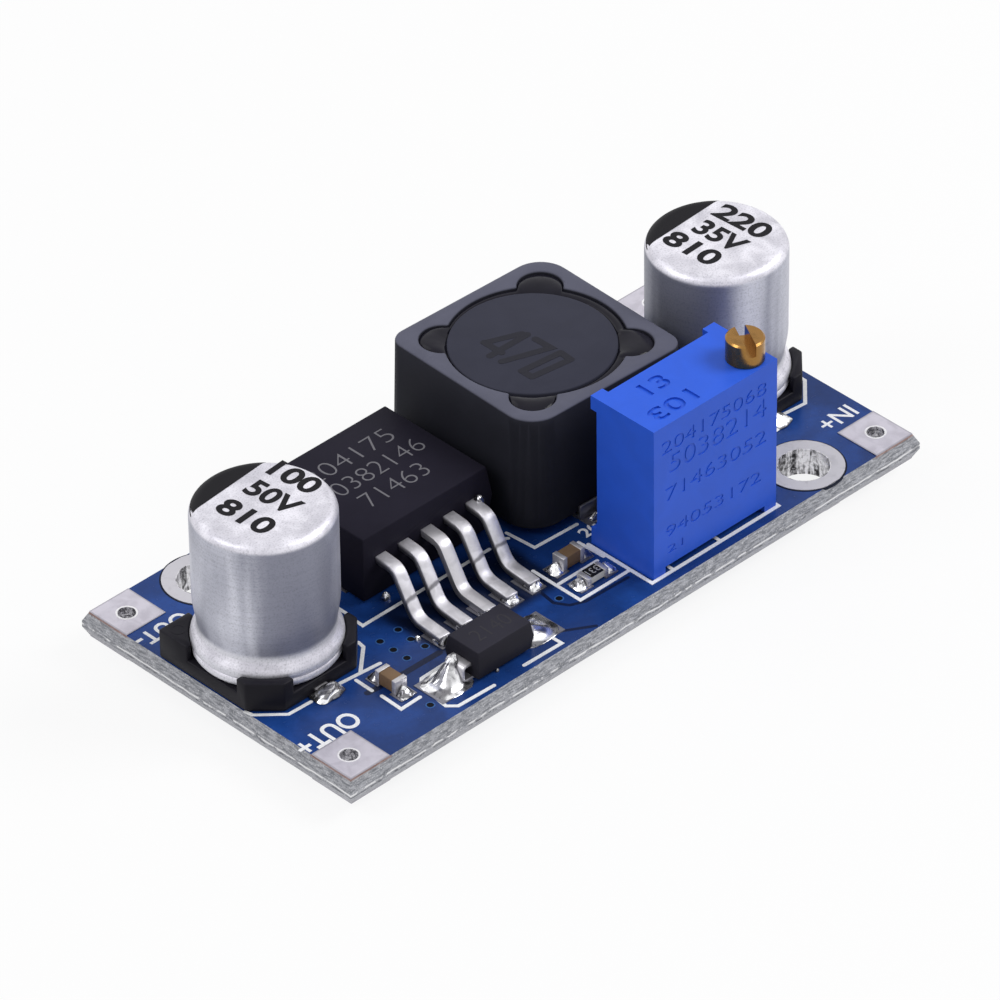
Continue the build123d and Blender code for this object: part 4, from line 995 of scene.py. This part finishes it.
@dataclass
class Board(Assembly):
    """The laminate with its terminals, holes, print and the marks of the copper under the mask."""

    top: float = 1.6
    land: float = 1.65
    mount_holes: Sequence[Flat] = ((15.25, -8.05), (-15.25, 8.05))
    mount_radius: float = 1.5
    ring_radius: float = 2.3
    wire_holes: Flat = (20.25, 8.75)
    wire_radius: float = 0.55
    wire_rim: float = 0.07
    wall: float = 0.045
    line: float = 0.22
    ink: float = 0.014
    over: float = 0.0015
    via_bore: float = 0.2
    via_rim: float = 0.27
    vias: Sequence[Flat] = ((-12.27, -2.81), (-12.27, -3.85), (-12.25, -4.88), (-10.84, -4.83), (-10.86, -2.75),
                            (-10.95, -3.84), (-14.19, -8.71), (-2.77, -6.97))
    outlines: Sequence[Sequence[Flat]] = (
        ((-13.15, -2.02), (-13.23, -2.51), (-14.86, -3.99)),
        ((-21.59, -2.11), (-21.49, -2.6), (-20.1, -3.91), (-18.51, -3.97)),
        ((21.03, -2.06), (21.02, -2.53), (19.47, -4.06), (17.81, -3.9)),
        ((2.6, -2.93), (-0.52, -2.79), (-0.68, -0.75)),
        ((-11.85, 0.95), (-11.85, 0.17)),
        ((-11.95, -0.51), (-11.98, -1.15), (-2.37, -1.13)),
        ((-1.76, -0.63), (-0.96, -1.16)),
        ((-10.82, -6.68), (-12.93, -6.73), (-13.44, -7.25), (-13.67, -9.38), (-13.2, -9.84), (-10.6, -9.93)),
        ((-5.54, -7.61), (-5.46, -9.89), (-8.25, -9.83)),
        ((-2.07, -4.23), (-2.07, -7.91), (1.7, -7.92)),
        ((-1.89, -6.06), (1.06, -6.06)),
        ((1.49, -4.18), (1.58, -6.03)),
        ((-16.33, -3.93), (-13.6, -4.2)),
        ((-15.53, -4.36), (-15.56, -5.62)),
        ((-15.5, -6.32), (-15.55, -7.88), (-14.12, -7.84)),
        ((1.75, -4.68), (1.75, -9.62), (11.6, -9.62), (11.6, -8.9)),
        ((3.41, -9.6), (3.41, -9.25)),
        ((7.07, -9.6), (7.07, -9.15)),
    )
    gaps: Sequence[tuple[float, Sequence[Flat]]] = (
        (0.22, ((-3.06, -5.66), (-3.26, -7.04), (-2.79, -7.8), (-1.93, -8.17), (1.2, -8.3))),
        (0.22, ((-5.32, -8.03), (-4.74, -9.09), (-3.06, -10.11))),
        (0.40, ((-15.85, -5.58), (-13.21, -5.73), (-10.67, -5.77))),
    )
    beads: Sequence[tuple[Spot, float]] = (
        ((-2.31, -0.3, 4.55), 0.32), ((-9.44, -0.3, 1.84), 0.24), ((-10.72, -4.12, 1.68), 0.19),
        ((-9.61, -9.13, 1.68), 0.13))
    signs: Sequence[tuple[str, Flat, float, float, float, float]] = (
        ("OUT+", (-19.75, -6.58), 4.2, 1.35, 180, 0.02), ("IN+", (19.75, -6.26), 2.45, 1.15, 180, 0.01),
        ("OUT-", (-19.84, 6.31), 3.5, 1.15, 180, 0.02), ("IN-", (20.1, 6.5), 2.6, 1.3, 180, 0.02),
        ("206", (3.05, -3.78), 1.9, 0.85, 0, 0.02))

    def build(self) -> None:
        """Builds the hole walls, vias, stray beads, mask gaps, print and a painted shadow line round each mounting
        ring.
        """
        self._holes()
        self._vias()
        for i, (centre, size) in enumerate(self.beads):
            low, high = ([c + way * size for c in centre] for way in (-1, 1))
            bead = Shape()
            bead.mound(low, high, 1.0, i * 2.3)
            bead.piece(f"stray_bead_{i}", Finishes.SOLDER, sharp=80)
        self._print()
        # A dark ring round each mounting ring's edge: painted shadow.
        edges = Shape()
        reach, span = self.ring_radius, (self.top - 0.1, self.top + 0.006)
        for centre in self.mount_holes:
            edges.ring(centre, (reach - 0.02, reach + 0.1), span)
        edges.piece("mounting_ring_shadow_lines", Finishes.SHADOW_LINE)

    def _holes(self) -> None:
        """Builds the plated walls of every hole, and the bright rims of the wire holes."""
        mounts, wires, rims = Shape(), Shape(), Shape()
        for centre in self.mount_holes:
            self._wall(mounts, centre, self.mount_radius)
        low, high, reach, out = self.top, self.land + 0.008, self.wire_radius, self.wire_radius + self.wire_rim
        for side in (-1, 1):
            for end in (-1, 1):
                centre = (self.wire_holes[0] * side, self.wire_holes[1] * end)
                self._wall(wires, centre, self.wire_radius)
                rims.turned([(reach - 0.03, low), (out, low), (out, high - 0.006), (reach + 0.02, high),
                             (reach - 0.03, high - 0.006)], centre, 48, hollow=True)
        mounts.piece("mounting_hole_walls", Finishes.LINING)
        wires.piece("wire_hole_walls", Finishes.WIRE_HOLE)
        rims.piece("wire_hole_rims", Finishes.HOLE_RIM)

    def _vias(self) -> None:
        """Builds the vias: a low rim of mask round a near-black plug in the bore, which is painted shade."""
        rims, bores = Shape(), Shape()
        low, high, bore, rim = self.top - 0.1, self.top + 0.012, self.via_bore, self.via_rim
        for centre in self.vias:
            rims.turned([(bore, low), (rim, low), (rim, high - 0.005), (rim - 0.03, high), (bore, high)],
                        centre, 28, hollow=True)
            bores.turned([(bore + 0.01, low), (bore + 0.01, self.top + 0.003)], centre, 28)
        rims.piece("via_rims", Finishes.MASK_LINE)
        bores.piece("via_bore_shades", Finishes.VIA_BORE_SHADE)

    def _print(self) -> None:
        """Builds the printed outlines and signs, and the gaps between copper areas."""
        lines, gaps = Shape(), Shape()
        for i, path in enumerate(self.outlines):
            lines.stroke(path, self.line, self.top, self.top + self.ink + self.over * i)
        lines.piece("part_outlines", Finishes.WHITE_PRINT)
        for width, path in self.gaps:
            gaps.stroke(path, width, self.top, self.top + 0.004)
        gaps.piece("copper_gaps", Finishes.BARE_GAP)
        lettering("terminal_signs", Finishes.WHITE_PRINT, [
            Lettering(sign, (*place, self.top), width, height, turn, weight=weight)
            for sign, place, width, height, turn, weight in self.signs])

    def _wall(self, shape: Shape, centre: Flat, radius: float) -> None:
        """Adds the plated wall of one hole to a shape."""
        shape.ring(centre, (radius - self.wall, radius), (self.top - self.land, self.land), 64)

    def dress(self) -> None:
        """Gives the laminate, terminals and lands their finishes."""
        dress(Finishes.LAMINATE, "circuit_board")
        dress(Finishes.TERMINAL, "input_plus_pad", "input_minus_pad", "output_plus_pad", "output_minus_pad")
        dress(Finishes.RING, "input_mounting_ring", "output_mounting_ring")
        # The lands get the darker copy of the tinned copper: painted shade.
        dress(Finishes.SHADED_LAND, "component_lands")


@dataclass
class Solder(Assembly):
    """Every solder joint, each a frozen lump where its CAD solid is."""

    swells: dict[str, float] = field(default_factory=lambda: {
        "output_capacitor_solder": 2.4, "input_capacitor_solder": 2.4, "inductor_solder": 2.0,
        "regulator_solder": 1.7, "tab_solder": 2.4, "chip_solder": 3.0,
        "trimmer_solder": 4.0})
    rises: dict[str, float] = field(default_factory=lambda: {
        "chip_solder": 0.2, "output_capacitor_solder": 0.15, "input_capacitor_solder": 0.15})
    spreads: dict[str, float] = field(default_factory=lambda: {
        "chip_solder": 0.1, "output_capacitor_solder": 0.22, "input_capacitor_solder": 0.22})
    cones: Sequence[tuple[Spot, Spot, float, Flat]] = (
        ((-13.74, -9.3, 1.62), (-11.0, -6.8, 3.2), 8.5, (0.62, 0.15)),
        ((-7.2, -9.3, 1.62), (-4.46, -6.8, 2.3), 5.5, (-0.62, 0.1)))
    middles: Sequence[Flat] = ((-17.45, 0.5), (16.9, 0.4), (5.65, 3.25), (-6.0, 4.1), (-9.1, -8.05),
                               (-0.2, -5.1), (-0.2, -6.98), (-14.55, -6.05))
    lean: float = 0.6

    def build(self) -> None:
        """Builds the lumps of each node as one piece, each leaning against its part."""
        for node, swell in self.swells.items():
            shape = Shape()
            for i, (low, high) in enumerate(solids_of(node)):
                spread, rise = self.spreads.get(node, 0.0), self.rises.get(node, 0.0)
                low = (low[0] - spread, low[1] - spread, low[2])
                high = (high[0] + spread, high[1] + spread, high[2] + rise)
                place = Vector(((low[0] + high[0]) / 2, (low[1] + high[1]) / 2))
                away = min((Vector(middle) - place for middle in self.middles), key=lambda way: way.length)
                hanging = node == "trimmer_solder"
                lean = (0, 0) if hanging else tuple(away.normalized() * self.lean)
                shape.mound(low, high, swell, i * 3.1, lean, hanging)
            shape.piece(f"{node}_lumps", Finishes.SOLDER, stands_for=[node], sharp=50)
        shape = Shape()
        for low, high, swell, lean in self.cones:
            shape.mound(low, high, swell, low[0], lean)
        shape.piece("diode_solder_cones", Finishes.SMOOTH_SOLDER, stands_for=["diode_solder"], sharp=50)


@dataclass
class Capacitor(Assembly):
    """A surface-mount electrolytic capacitor: drawn can on a black base, with printed figures."""

    side: str
    centre: Flat
    figures: Sequence[tuple[str, Flat, float]]
    turn: float
    radius: float = 4.03
    bottom: float = 3.05
    seat: float = 3.53
    top: float = 12.0
    shoulder: float = 0.62
    foot: Sequence[Flat] = (
        (3.92, 2.57), (4.07, 2.63), (4.16, 2.77), (4.19, 2.93), (4.16, 3.08), (4.11, 3.14), (4.17, 3.22),
        (4.2, 3.4), (4.17, 3.6), (4.09, 3.78), (3.97, 3.94), (3.88, 4.1), (3.84, 4.2), (3.8, 4.4), (3.815, 4.62),
        (3.86, 4.9), (3.925, 5.25), (3.98, 5.6), (4.015, 5.95), (4.03, 6.3))
    printed_from: float = 2.4
    figure_height: float = 1.45
    base: float = 8.3
    mark_inset: float = 0.75
    mark_ring: Flat = (0.33, 0.45)
    mark_rise: Flat = (3.48, 3.51)
    base_edge: float = 0.09
    terminal_edge: float = 0.04

    def build(self) -> None:
        """Builds the can, the black segment, the figures and the base's moulding marks."""
        edge = self.radius - self.shoulder
        arc = [(edge + self.shoulder * math.cos(t), self.top - self.shoulder + self.shoulder * math.sin(t))
               for t in (math.pi / 2 * k / 9 for k in range(10))]
        profile = [(3.3, self.bottom), (self.seat, self.bottom), (self.seat, self.foot[0][1]), *self.foot, *arc,
                   (edge - 0.5, self.top - 0.004)]
        shape = Shape()
        shape.turned(profile, self.centre, 128)
        shape.piece(f"{self.side}_capacitor_drawn_can", Finishes.CAN, stands_for=[f"{self.side}_capacitor_can"],
                    sharp=50)
        self._segment().piece(f"{self.side}_capacitor_minus_mark", Finishes.BLACK_PRINT)
        lettering(f"{self.side}_capacitor_figures", Finishes.BLACK_PRINT, [
            Lettering(text, (self.centre[0] + x, self.centre[1] + y, self.top), width, self.figure_height,
                      self.turn, weight=0.03)
            for text, (x, y), width in self.figures])
        shape = Shape()
        reach = self.base / 2 - self.mark_inset
        for x in (-reach, reach):
            spot = (self.centre[0] + x, self.centre[1] + reach)
            shape.ring(spot, self.mark_ring, self.mark_rise, 32)
        shape.piece(f"{self.side}_capacitor_base_marks", Finishes.BLACK_BASE)

    def _segment(self) -> Shape:
        """Draws the black print over one side of the can's top and its rounded edge.

        Returns:
            The print's shape.
        """
        shape = Shape()
        limit, steps, spans = self.radius - self.shoulder * 0.16, 14, 26
        spin = math.radians(self.turn + 90)

        def spot(along: float, across: float, lift: float) -> Spot:
            """Finds a point on the can's top.

            Args:
                along: How far it is along the print's straight edge, from the middle.
                across: How far it is from the can's middle, square to that edge.
                lift: How far it is raised off the surface.

            Returns:
                The point.
            """
            out = math.hypot(along, across)
            over = max(0.0, out - (self.radius - self.shoulder))
            drop = self.shoulder - math.sqrt(max(0.0, self.shoulder ** 2 - over ** 2))
            grow = 1 + lift * over / self.shoulder / out
            x, y = along * grow, across * grow
            return (self.centre[0] + x * math.cos(spin) - y * math.sin(spin),
                    self.centre[1] + x * math.sin(spin) + y * math.cos(spin),
                    self.top - drop + lift * (1 - over / self.shoulder))

        sheets = []
        for lift in (0.002, 0.014):
            rows = []
            for j in range(steps + 1):
                across = self.printed_from + (limit - self.printed_from) * math.sin(j / steps * math.pi / 2)
                half = math.sqrt(max(0.0004, limit ** 2 - across ** 2))
                rows.append(shape.row(spot(half * (2 * i / spans - 1), across, lift) for i in range(spans + 1)))
            sheets.append(rows)
        for rows, turn in zip(sheets, (-1, 1)):
            for a, b in zip(rows, rows[1:]):
                for i in range(spans):
                    shape.faces.append((a[i], a[i + 1], b[i + 1], b[i])[::turn])
        under, over = ([*r[0], *(row[-1] for row in r[1:-1]), *reversed(r[-1]), *(row[0] for row in r[-2:0:-1])]
                       for r in sheets)
        shape.skin([under, over])
        return shape

    def dress(self) -> None:
        """Gives the base and terminals rounded edges and their finishes."""
        softened(f"{self.side}_capacitor_base", Finishes.BLACK_BASE, self.base_edge)
        softened(f"{self.side}_capacitor_terminals", Finishes.LEAD, self.terminal_edge)


@dataclass
class Inductor(Assembly):
    """The shielded power inductor and the value on its drum."""

    centre: Flat = (5.65, 3.25)
    core: Flat = (5.35, 3.25)
    core_radius: float = 4.74
    bore: float = 5.09
    lobe: float = 1.3
    lobe_out: float = 5.2
    yaw: float = -1.8
    top: float = 9.35
    glue: Flat = (8.25, 9.18)
    swells: Flat = (0.05, 0.19)
    swell_share: float = 0.16
    wobble: float = 0.03
    shield_edge: float = 0.12
    core_edge: float = 0.08
    terminal_edge: float = 0.05
    pen: float = 0.44
    value: Sequence[Sequence[Flat]] = (
        ((5.69, 4.02), (2.85, 4.04)), ((5.55, 4.28), (3.52, 5.12)), ((3.51, 5.17), (3.5, 3.8)),
        ((5.72, 3.39), (5.74, 2.2), (2.94, 3.2)),
        ((3.11, 1.79), (3.11, 1.01)), ((3.11, 1.01), (5.74, 0.66)), ((5.74, 0.66), (5.8, 1.5)),
        ((5.8, 1.5), (3.11, 1.79)))

    def build(self) -> None:
        """Builds the printed value and the glossy adhesive round the drum."""
        shape = Shape()
        for i, path in enumerate(self.value):
            shape.stroke(path, self.pen, self.top, self.top + 0.01 + 0.001 * i)
        shape.piece("inductor_value", Finishes.DARK_PRINT)
        self._glue().piece("inductor_glossy_adhesive", Finishes.ADHESIVE, ["inductor_adhesive"], sharp=60)

    def _glue(self) -> Shape:
        """Draws the adhesive between the drum and the shield, which swells where the gap is wide.

        Returns:
            The adhesive's shape.
        """
        shape = Shape()
        sides, steps = 240, 8
        rows: list[list[Spot]] = [[] for _ in range(steps + 3)]
        for i in range(sides):
            turn = 2 * math.pi * i / sides
            off = self.centre[0] - self.core[0]
            inner = math.sqrt(self.core_radius ** 2 - (off * math.sin(turn)) ** 2) - off * math.cos(turn)
            outer = self.bore
            for quarter in range(4):
                away = turn - math.radians(45 + 90 * quarter + self.yaw)
                over = self.lobe ** 2 - (self.lobe_out * math.sin(away)) ** 2
                if math.cos(away) > 0 and over > 0:
                    outer = max(outer, self.lobe_out * math.cos(away) + math.sqrt(over))
            swell = min(self.swells[1], max(self.swells[0], (outer - inner) * self.swell_share))
            wobble = noise.noise((math.cos(turn) * 2, math.sin(turn) * 2, 3.0)) * self.wobble
            edge = [(inner, self.glue[0])]
            for k in range(steps + 1):
                share = k / steps
                lift = math.sin(share * math.pi) ** 0.7 if 0 < k < steps else 0.0
                edge.append((inner + (outer - inner) * share, self.glue[1] + (swell + wobble) * lift))
            edge.append((outer, self.glue[0]))
            for row, (reach, height) in zip(rows, edge):
                x, y = self.centre[0] + reach * math.cos(turn), self.centre[1] + reach * math.sin(turn)
                row.append((x, y, height))
        loops = [shape.row(row) for row in rows]
        shape.skin([*loops, loops[0]])
        return shape

    def dress(self) -> None:
        """Gives the shield, drum, wire and terminals their finishes."""
        softened("inductor_shield", Finishes.FERRITE, self.shield_edge)
        softened("inductor_core", Finishes.DRUM, self.core_edge)
        dress(Finishes.WIRE, "inductor_winding")
        # The terminals get the darker copy of the lead metal: painted shade.
        softened("inductor_terminals", Finishes.SHADED_LEAD, self.terminal_edge)


@dataclass
class Regulator(Assembly):
    """The tabbed switching regulator with plain laser-marked figures."""

    centre: Flat = (-6.0, 4.1)
    top: float = 6.05
    rows: Sequence[tuple[str, float, float]] = (("204175", 2.0, 6.2), ("50382146", 0.2, 7.4), ("71463", -1.6, 4.6))
    row_height: float = 1.25
    body_edge: float = 0.1
    tab_edge: float = 0.06
    lead_edge: float = 0.07

    def build(self) -> None:
        """Builds the three marked rows."""
        x, y = self.centre
        lettering("regulator_figures", Finishes.LASER_MARK, [
            Lettering(text, (x, y + up, self.top), width, self.row_height, 0, 0.006, -0.02)
            for text, up, width in self.rows])

    def dress(self) -> None:
        """Gives the body, tab and leads rounded edges and their finishes."""
        softened("regulator_body", Finishes.PACKAGE, self.body_edge)
        softened("regulator_tab", Finishes.LEAD, self.tab_edge)
        softened("regulator_leads", Finishes.FORMED_LEAD, self.lead_edge)


@dataclass
class Diode(Assembly):
    """The rectifier diode with a faint plain number."""

    centre: Flat = (-9.0, -8.05)
    top: float = 3.65
    number: str = "2140"
    size: Flat = (2.6, 1.0)
    edge: float = 0.05

    def build(self) -> None:
        """Builds the number."""
        lettering("diode_figures", Finishes.FAINT_MARK, [
            Lettering(self.number, (*self.centre, self.top), *self.size, 0, 0.006, -0.01)])

    def dress(self) -> None:
        """Gives the body and leads rounded edges and their finishes."""
        softened("diode_body", Finishes.DIODE_PACKAGE, self.edge)
        softened("diode_leads", Finishes.LEAD, self.edge)


@dataclass
class Trimmer(Assembly):
    """The multi-turn trimmer: blue housing, brass screw and the mechanism inside."""

    top: float = 11.63
    near: float = -9.5
    skirt: Sequence[Flat] = ((2.0, 2.6), (-8.6, -6.02), (1.6, 2.05))
    roof: Sequence[tuple[str, Flat, float, float, float]] = (
        ("13", (5.12, -6.43), 1.75, 1.2, 0), ("103", (4.5, -8.43), 3.2, 1.15, 180))
    roof_cut: Flat = (0.05, -0.16)
    wall_cut: Flat = (-0.03, -0.075)
    rows: Sequence[tuple[str, float, float, float, float]] = (
        ("204175068", 6.65, 10.15, 8.1, 0.85), ("5038214", 6.95, 8.85, 7.5, 1.2),
        ("71463052", 6.8, 6.9, 7.8, 0.9), ("94053172", 6.6, 4.35, 7.4, 0.75), ("21", 3.65, 3.1, 1.2, 0.5))

    def build(self) -> None:
        """Sinks the plain figures of the roof and the near wall into the housing."""
        (above, roof_depth), (before, wall_depth) = self.roof_cut, self.wall_cut
        figures = [Lettering(text, (*place, self.top + above), width, height, turn, roof_depth, 0.02)
                   for text, place, width, height, turn in self.roof]
        figures += [Lettering(text, (x, self.near + before, z), width, height, 0, wall_depth, upright=True)
                    for text, x, z, width, height in self.rows]
        carved("trimmer_housing", "trimmer_marked_housing", Finishes.BLUE, figures)
        shape = Shape()
        (x0, x1), (y0, y1), (z0, z1) = self.skirt
        shape.stack([[(x0, y0, z), (x1, y0, z), (x1, y1, z), (x0, y1, z)] for z in (z0, z1)])
        shape.piece("trimmer_foot_wall", Finishes.BLUE)

    def dress(self) -> None:
        """Gives every part of the trimmer its finish."""
        for finish, nodes in {
            Finishes.BRASS: ["trimmer_screw"],
            Finishes.RUBBER: ["trimmer_seal"],
            Finishes.CARRIAGE: ["trimmer_carriage"],
            Finishes.SPRING: ["trimmer_wiper"],
            Finishes.CERAMIC: ["trimmer_substrate"],
            Finishes.RESISTIVE: ["trimmer_resistive_track"],
            Finishes.COLLECTOR: ["trimmer_collector_track"],
            Finishes.LEAD: ["trimmer_pins"],
            Finishes.POTTING: ["trimmer_potting"],
        }.items():
            dress(finish, *nodes)


@dataclass
class ChipParts(Assembly):
    """The two ceramic chip capacitors and the chip resistor."""

    value: str = "331"
    size: Flat = (0.85, 0.48)
    block_edge: float = 0.04
    cap_edge: float = 0.05

    def build(self) -> None:
        """Builds the resistor's value."""
        low, high = (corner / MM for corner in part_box("resistor_coating"))
        middle = (low + high) / 2
        lettering("resistor_value", Finishes.GREY_PRINT, [
            Lettering(self.value, (middle.x, middle.y, high.z), *self.size, 180, 0.006)])

    def dress(self) -> None:
        """Gives the chips rounded edges and their finishes."""
        for node in ("filter_capacitor", "output_chip_capacitor"):
            softened(node, Finishes.TAN, self.block_edge)
        for node in ("filter_capacitor_caps", "output_chip_capacitor_caps", "resistor_caps"):
            softened(node, Finishes.LEAD, self.cap_edge)
        dress(Finishes.CERAMIC, "resistor")
        dress(Finishes.GLAZE, "resistor_coating")


@dataclass(frozen=True)
class PhotoCamera:
    """A long lens that looks down on the board's output end."""

    place: Spot = (-272.106, -282.390, 299.650)
    lens: float = 322.358
    azimuth: float = -43.893
    elevation: float = 37.095
    roll: float = -0.794
    film: float = 36.0

    def build(self) -> None:
        """Makes the camera and looks through it."""
        data = bpy.data.cameras.new("camera")
        data.lens, data.sensor_width, data.clip_start, data.clip_end = self.lens, self.film, 0.01, 20.0
        camera = bpy.data.objects.new("camera", data)
        bpy.context.scene.collection.objects.link(camera)
        turn, rise = math.radians(self.azimuth), math.radians(self.elevation)
        back = Vector((math.sin(turn) * math.cos(rise), -math.cos(turn) * math.cos(rise), math.sin(rise)))
        camera.rotation_mode = "QUATERNION"
        camera.location = Vector(self.place) * MM
        roll = Quaternion((0, 0, 1), math.radians(self.roll))
        camera.rotation_quaternion = (-back).to_track_quat("-Z", "Y") @ roll
        bpy.context.scene.camera = camera


@dataclass(frozen=True)
class Studio:
    """A white floor and soft plain light."""

    ambient: float = 0.48
    floor_white: float = 0.88
    floor_reach: float = 1.5
    floor_gap: float = 0.02
    lamps: Sequence[tuple[Spot, float, float]] = (
        ((250, -190, 320), 0.22, 0.95), ((-310, 110, 320), 0.20, 0.55), ((-40, 330, 330), 0.26, 0.15))

    def build(self) -> None:
        """Builds the floor, the world and the lamps."""
        scene = bpy.context.scene
        scene.view_settings.view_transform = "Standard"
        world = bpy.data.worlds.new("soft_room")
        scene.world = world
        graph = Graph(world)
        room = graph.node("ShaderNodeBackground", sockets={"Color": (1, 1, 1, 1), "Strength": self.ambient})
        white = graph.node("ShaderNodeBackground", sockets={"Color": (1, 1, 1, 1), "Strength": 1.0})
        sockets = {0: self._seen(graph), 1: room.outputs[0], 2: white.outputs[0]}
        both = graph.node("ShaderNodeMixShader", sockets=sockets)
        graph.node("ShaderNodeOutputWorld", sockets={"Surface": both.outputs[0]})
        self._floor()
        for i, (spot, size, power) in enumerate(self.lamps):
            data = bpy.data.lights.new(f"soft_lamp_{i}", "AREA")
            data.shape, data.size, data.energy = "DISK", size, power
            lamp = bpy.data.objects.new(data.name, data)
            lamp.location = Vector(spot) * MM
            lamp.rotation_mode = "QUATERNION"
            lamp.rotation_quaternion = (-Vector(spot)).to_track_quat("-Z", "Y")
            scene.collection.objects.link(lamp)

    def _seen(self, graph: Graph) -> Value:
        """Finds the rays that see plain white.

        Args:
            graph: The tree that asks.

        Returns:
            1 for rays from the camera, off gloss or through glass, and 0 for the others.
        """
        path = graph.node("ShaderNodeLightPath")
        camera, gloss, glass = (Value(graph, path.outputs[f"Is {kind} Ray"])
                                for kind in ("Camera", "Glossy", "Transmission"))
        return camera.most(gloss).most(glass)

    def _floor(self) -> None:
        """Lays the floor just under the lowest pin, white to the eye but with the board's soft shadow."""
        material = bpy.data.materials.new("white_floor")
        graph = Graph(material)
        paper = graph.node("ShaderNodeBsdfDiffuse", sockets={"Color": (0.86, 0.86, 0.87, 1)})
        white = graph.node("ShaderNodeEmission", sockets={"Color": (1, 1, 1, 1), "Strength": 1.0})
        sockets = {0: self._seen(graph) * self.floor_white, 1: paper.outputs[0], 2: white.outputs[0]}
        both = graph.node("ShaderNodeMixShader", sockets=sockets)
        graph.node("ShaderNodeOutputMaterial", sockets={"Surface": both.outputs[0]})
        mesh = bpy.data.meshes.new("floor")
        height, reach = CAD_BOX[0].z - self.floor_gap * MM, self.floor_reach
        mesh.from_pydata([(x * reach, y * reach, height) for x, y in ((-1, -1), (1, -1), (1, 1), (-1, 1))], [],
                         [(0, 1, 2, 3)])
        mesh.materials.append(material)
        floor = bpy.data.objects.new("floor", mesh)
        bpy.context.scene.collection.objects.link(floor)
        floor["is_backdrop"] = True


def write_sizes() -> None:
    """Works out the box of the CAD model and that of the dressed one.
    """
    boxes = {name: [list(corner) for corner in box] for name, box in (("cad", CAD_BOX), ("visual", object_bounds()))}


def main() -> None:
    """Builds and dresses every sub-assembly, then the camera and the studio."""
    logging.basicConfig(level=logging.INFO, format="%(name)s: %(message)s")
    parts: list[Assembly] = [
        Board(),
        Solder(),
        Capacitor("output", (-17.45, 0.5),
                  (("100", (2.78, 0.42), 3.15), ("50V", (0.75, 0.0), 3.4), ("810", (-1.42, -0.2), 3.6)), -85),
        Capacitor("input", (16.9, 0.4),
                  (("220", (2.2, 0.1), 3.7), ("35V", (0.3, 0.0), 3.3), ("810", (-1.6, 0.3), 3.7)), -87),
        Inductor(),
        Regulator(),
        Diode(),
        Trimmer(),
        ChipParts(),
    ]
    for part in parts:
        part.build()
        part.dress()
        LOG.info("%s built", type(part).__name__)
    PhotoCamera().build()
    Studio().build()
    write_sizes()


if __name__ == "__main__":
    main()
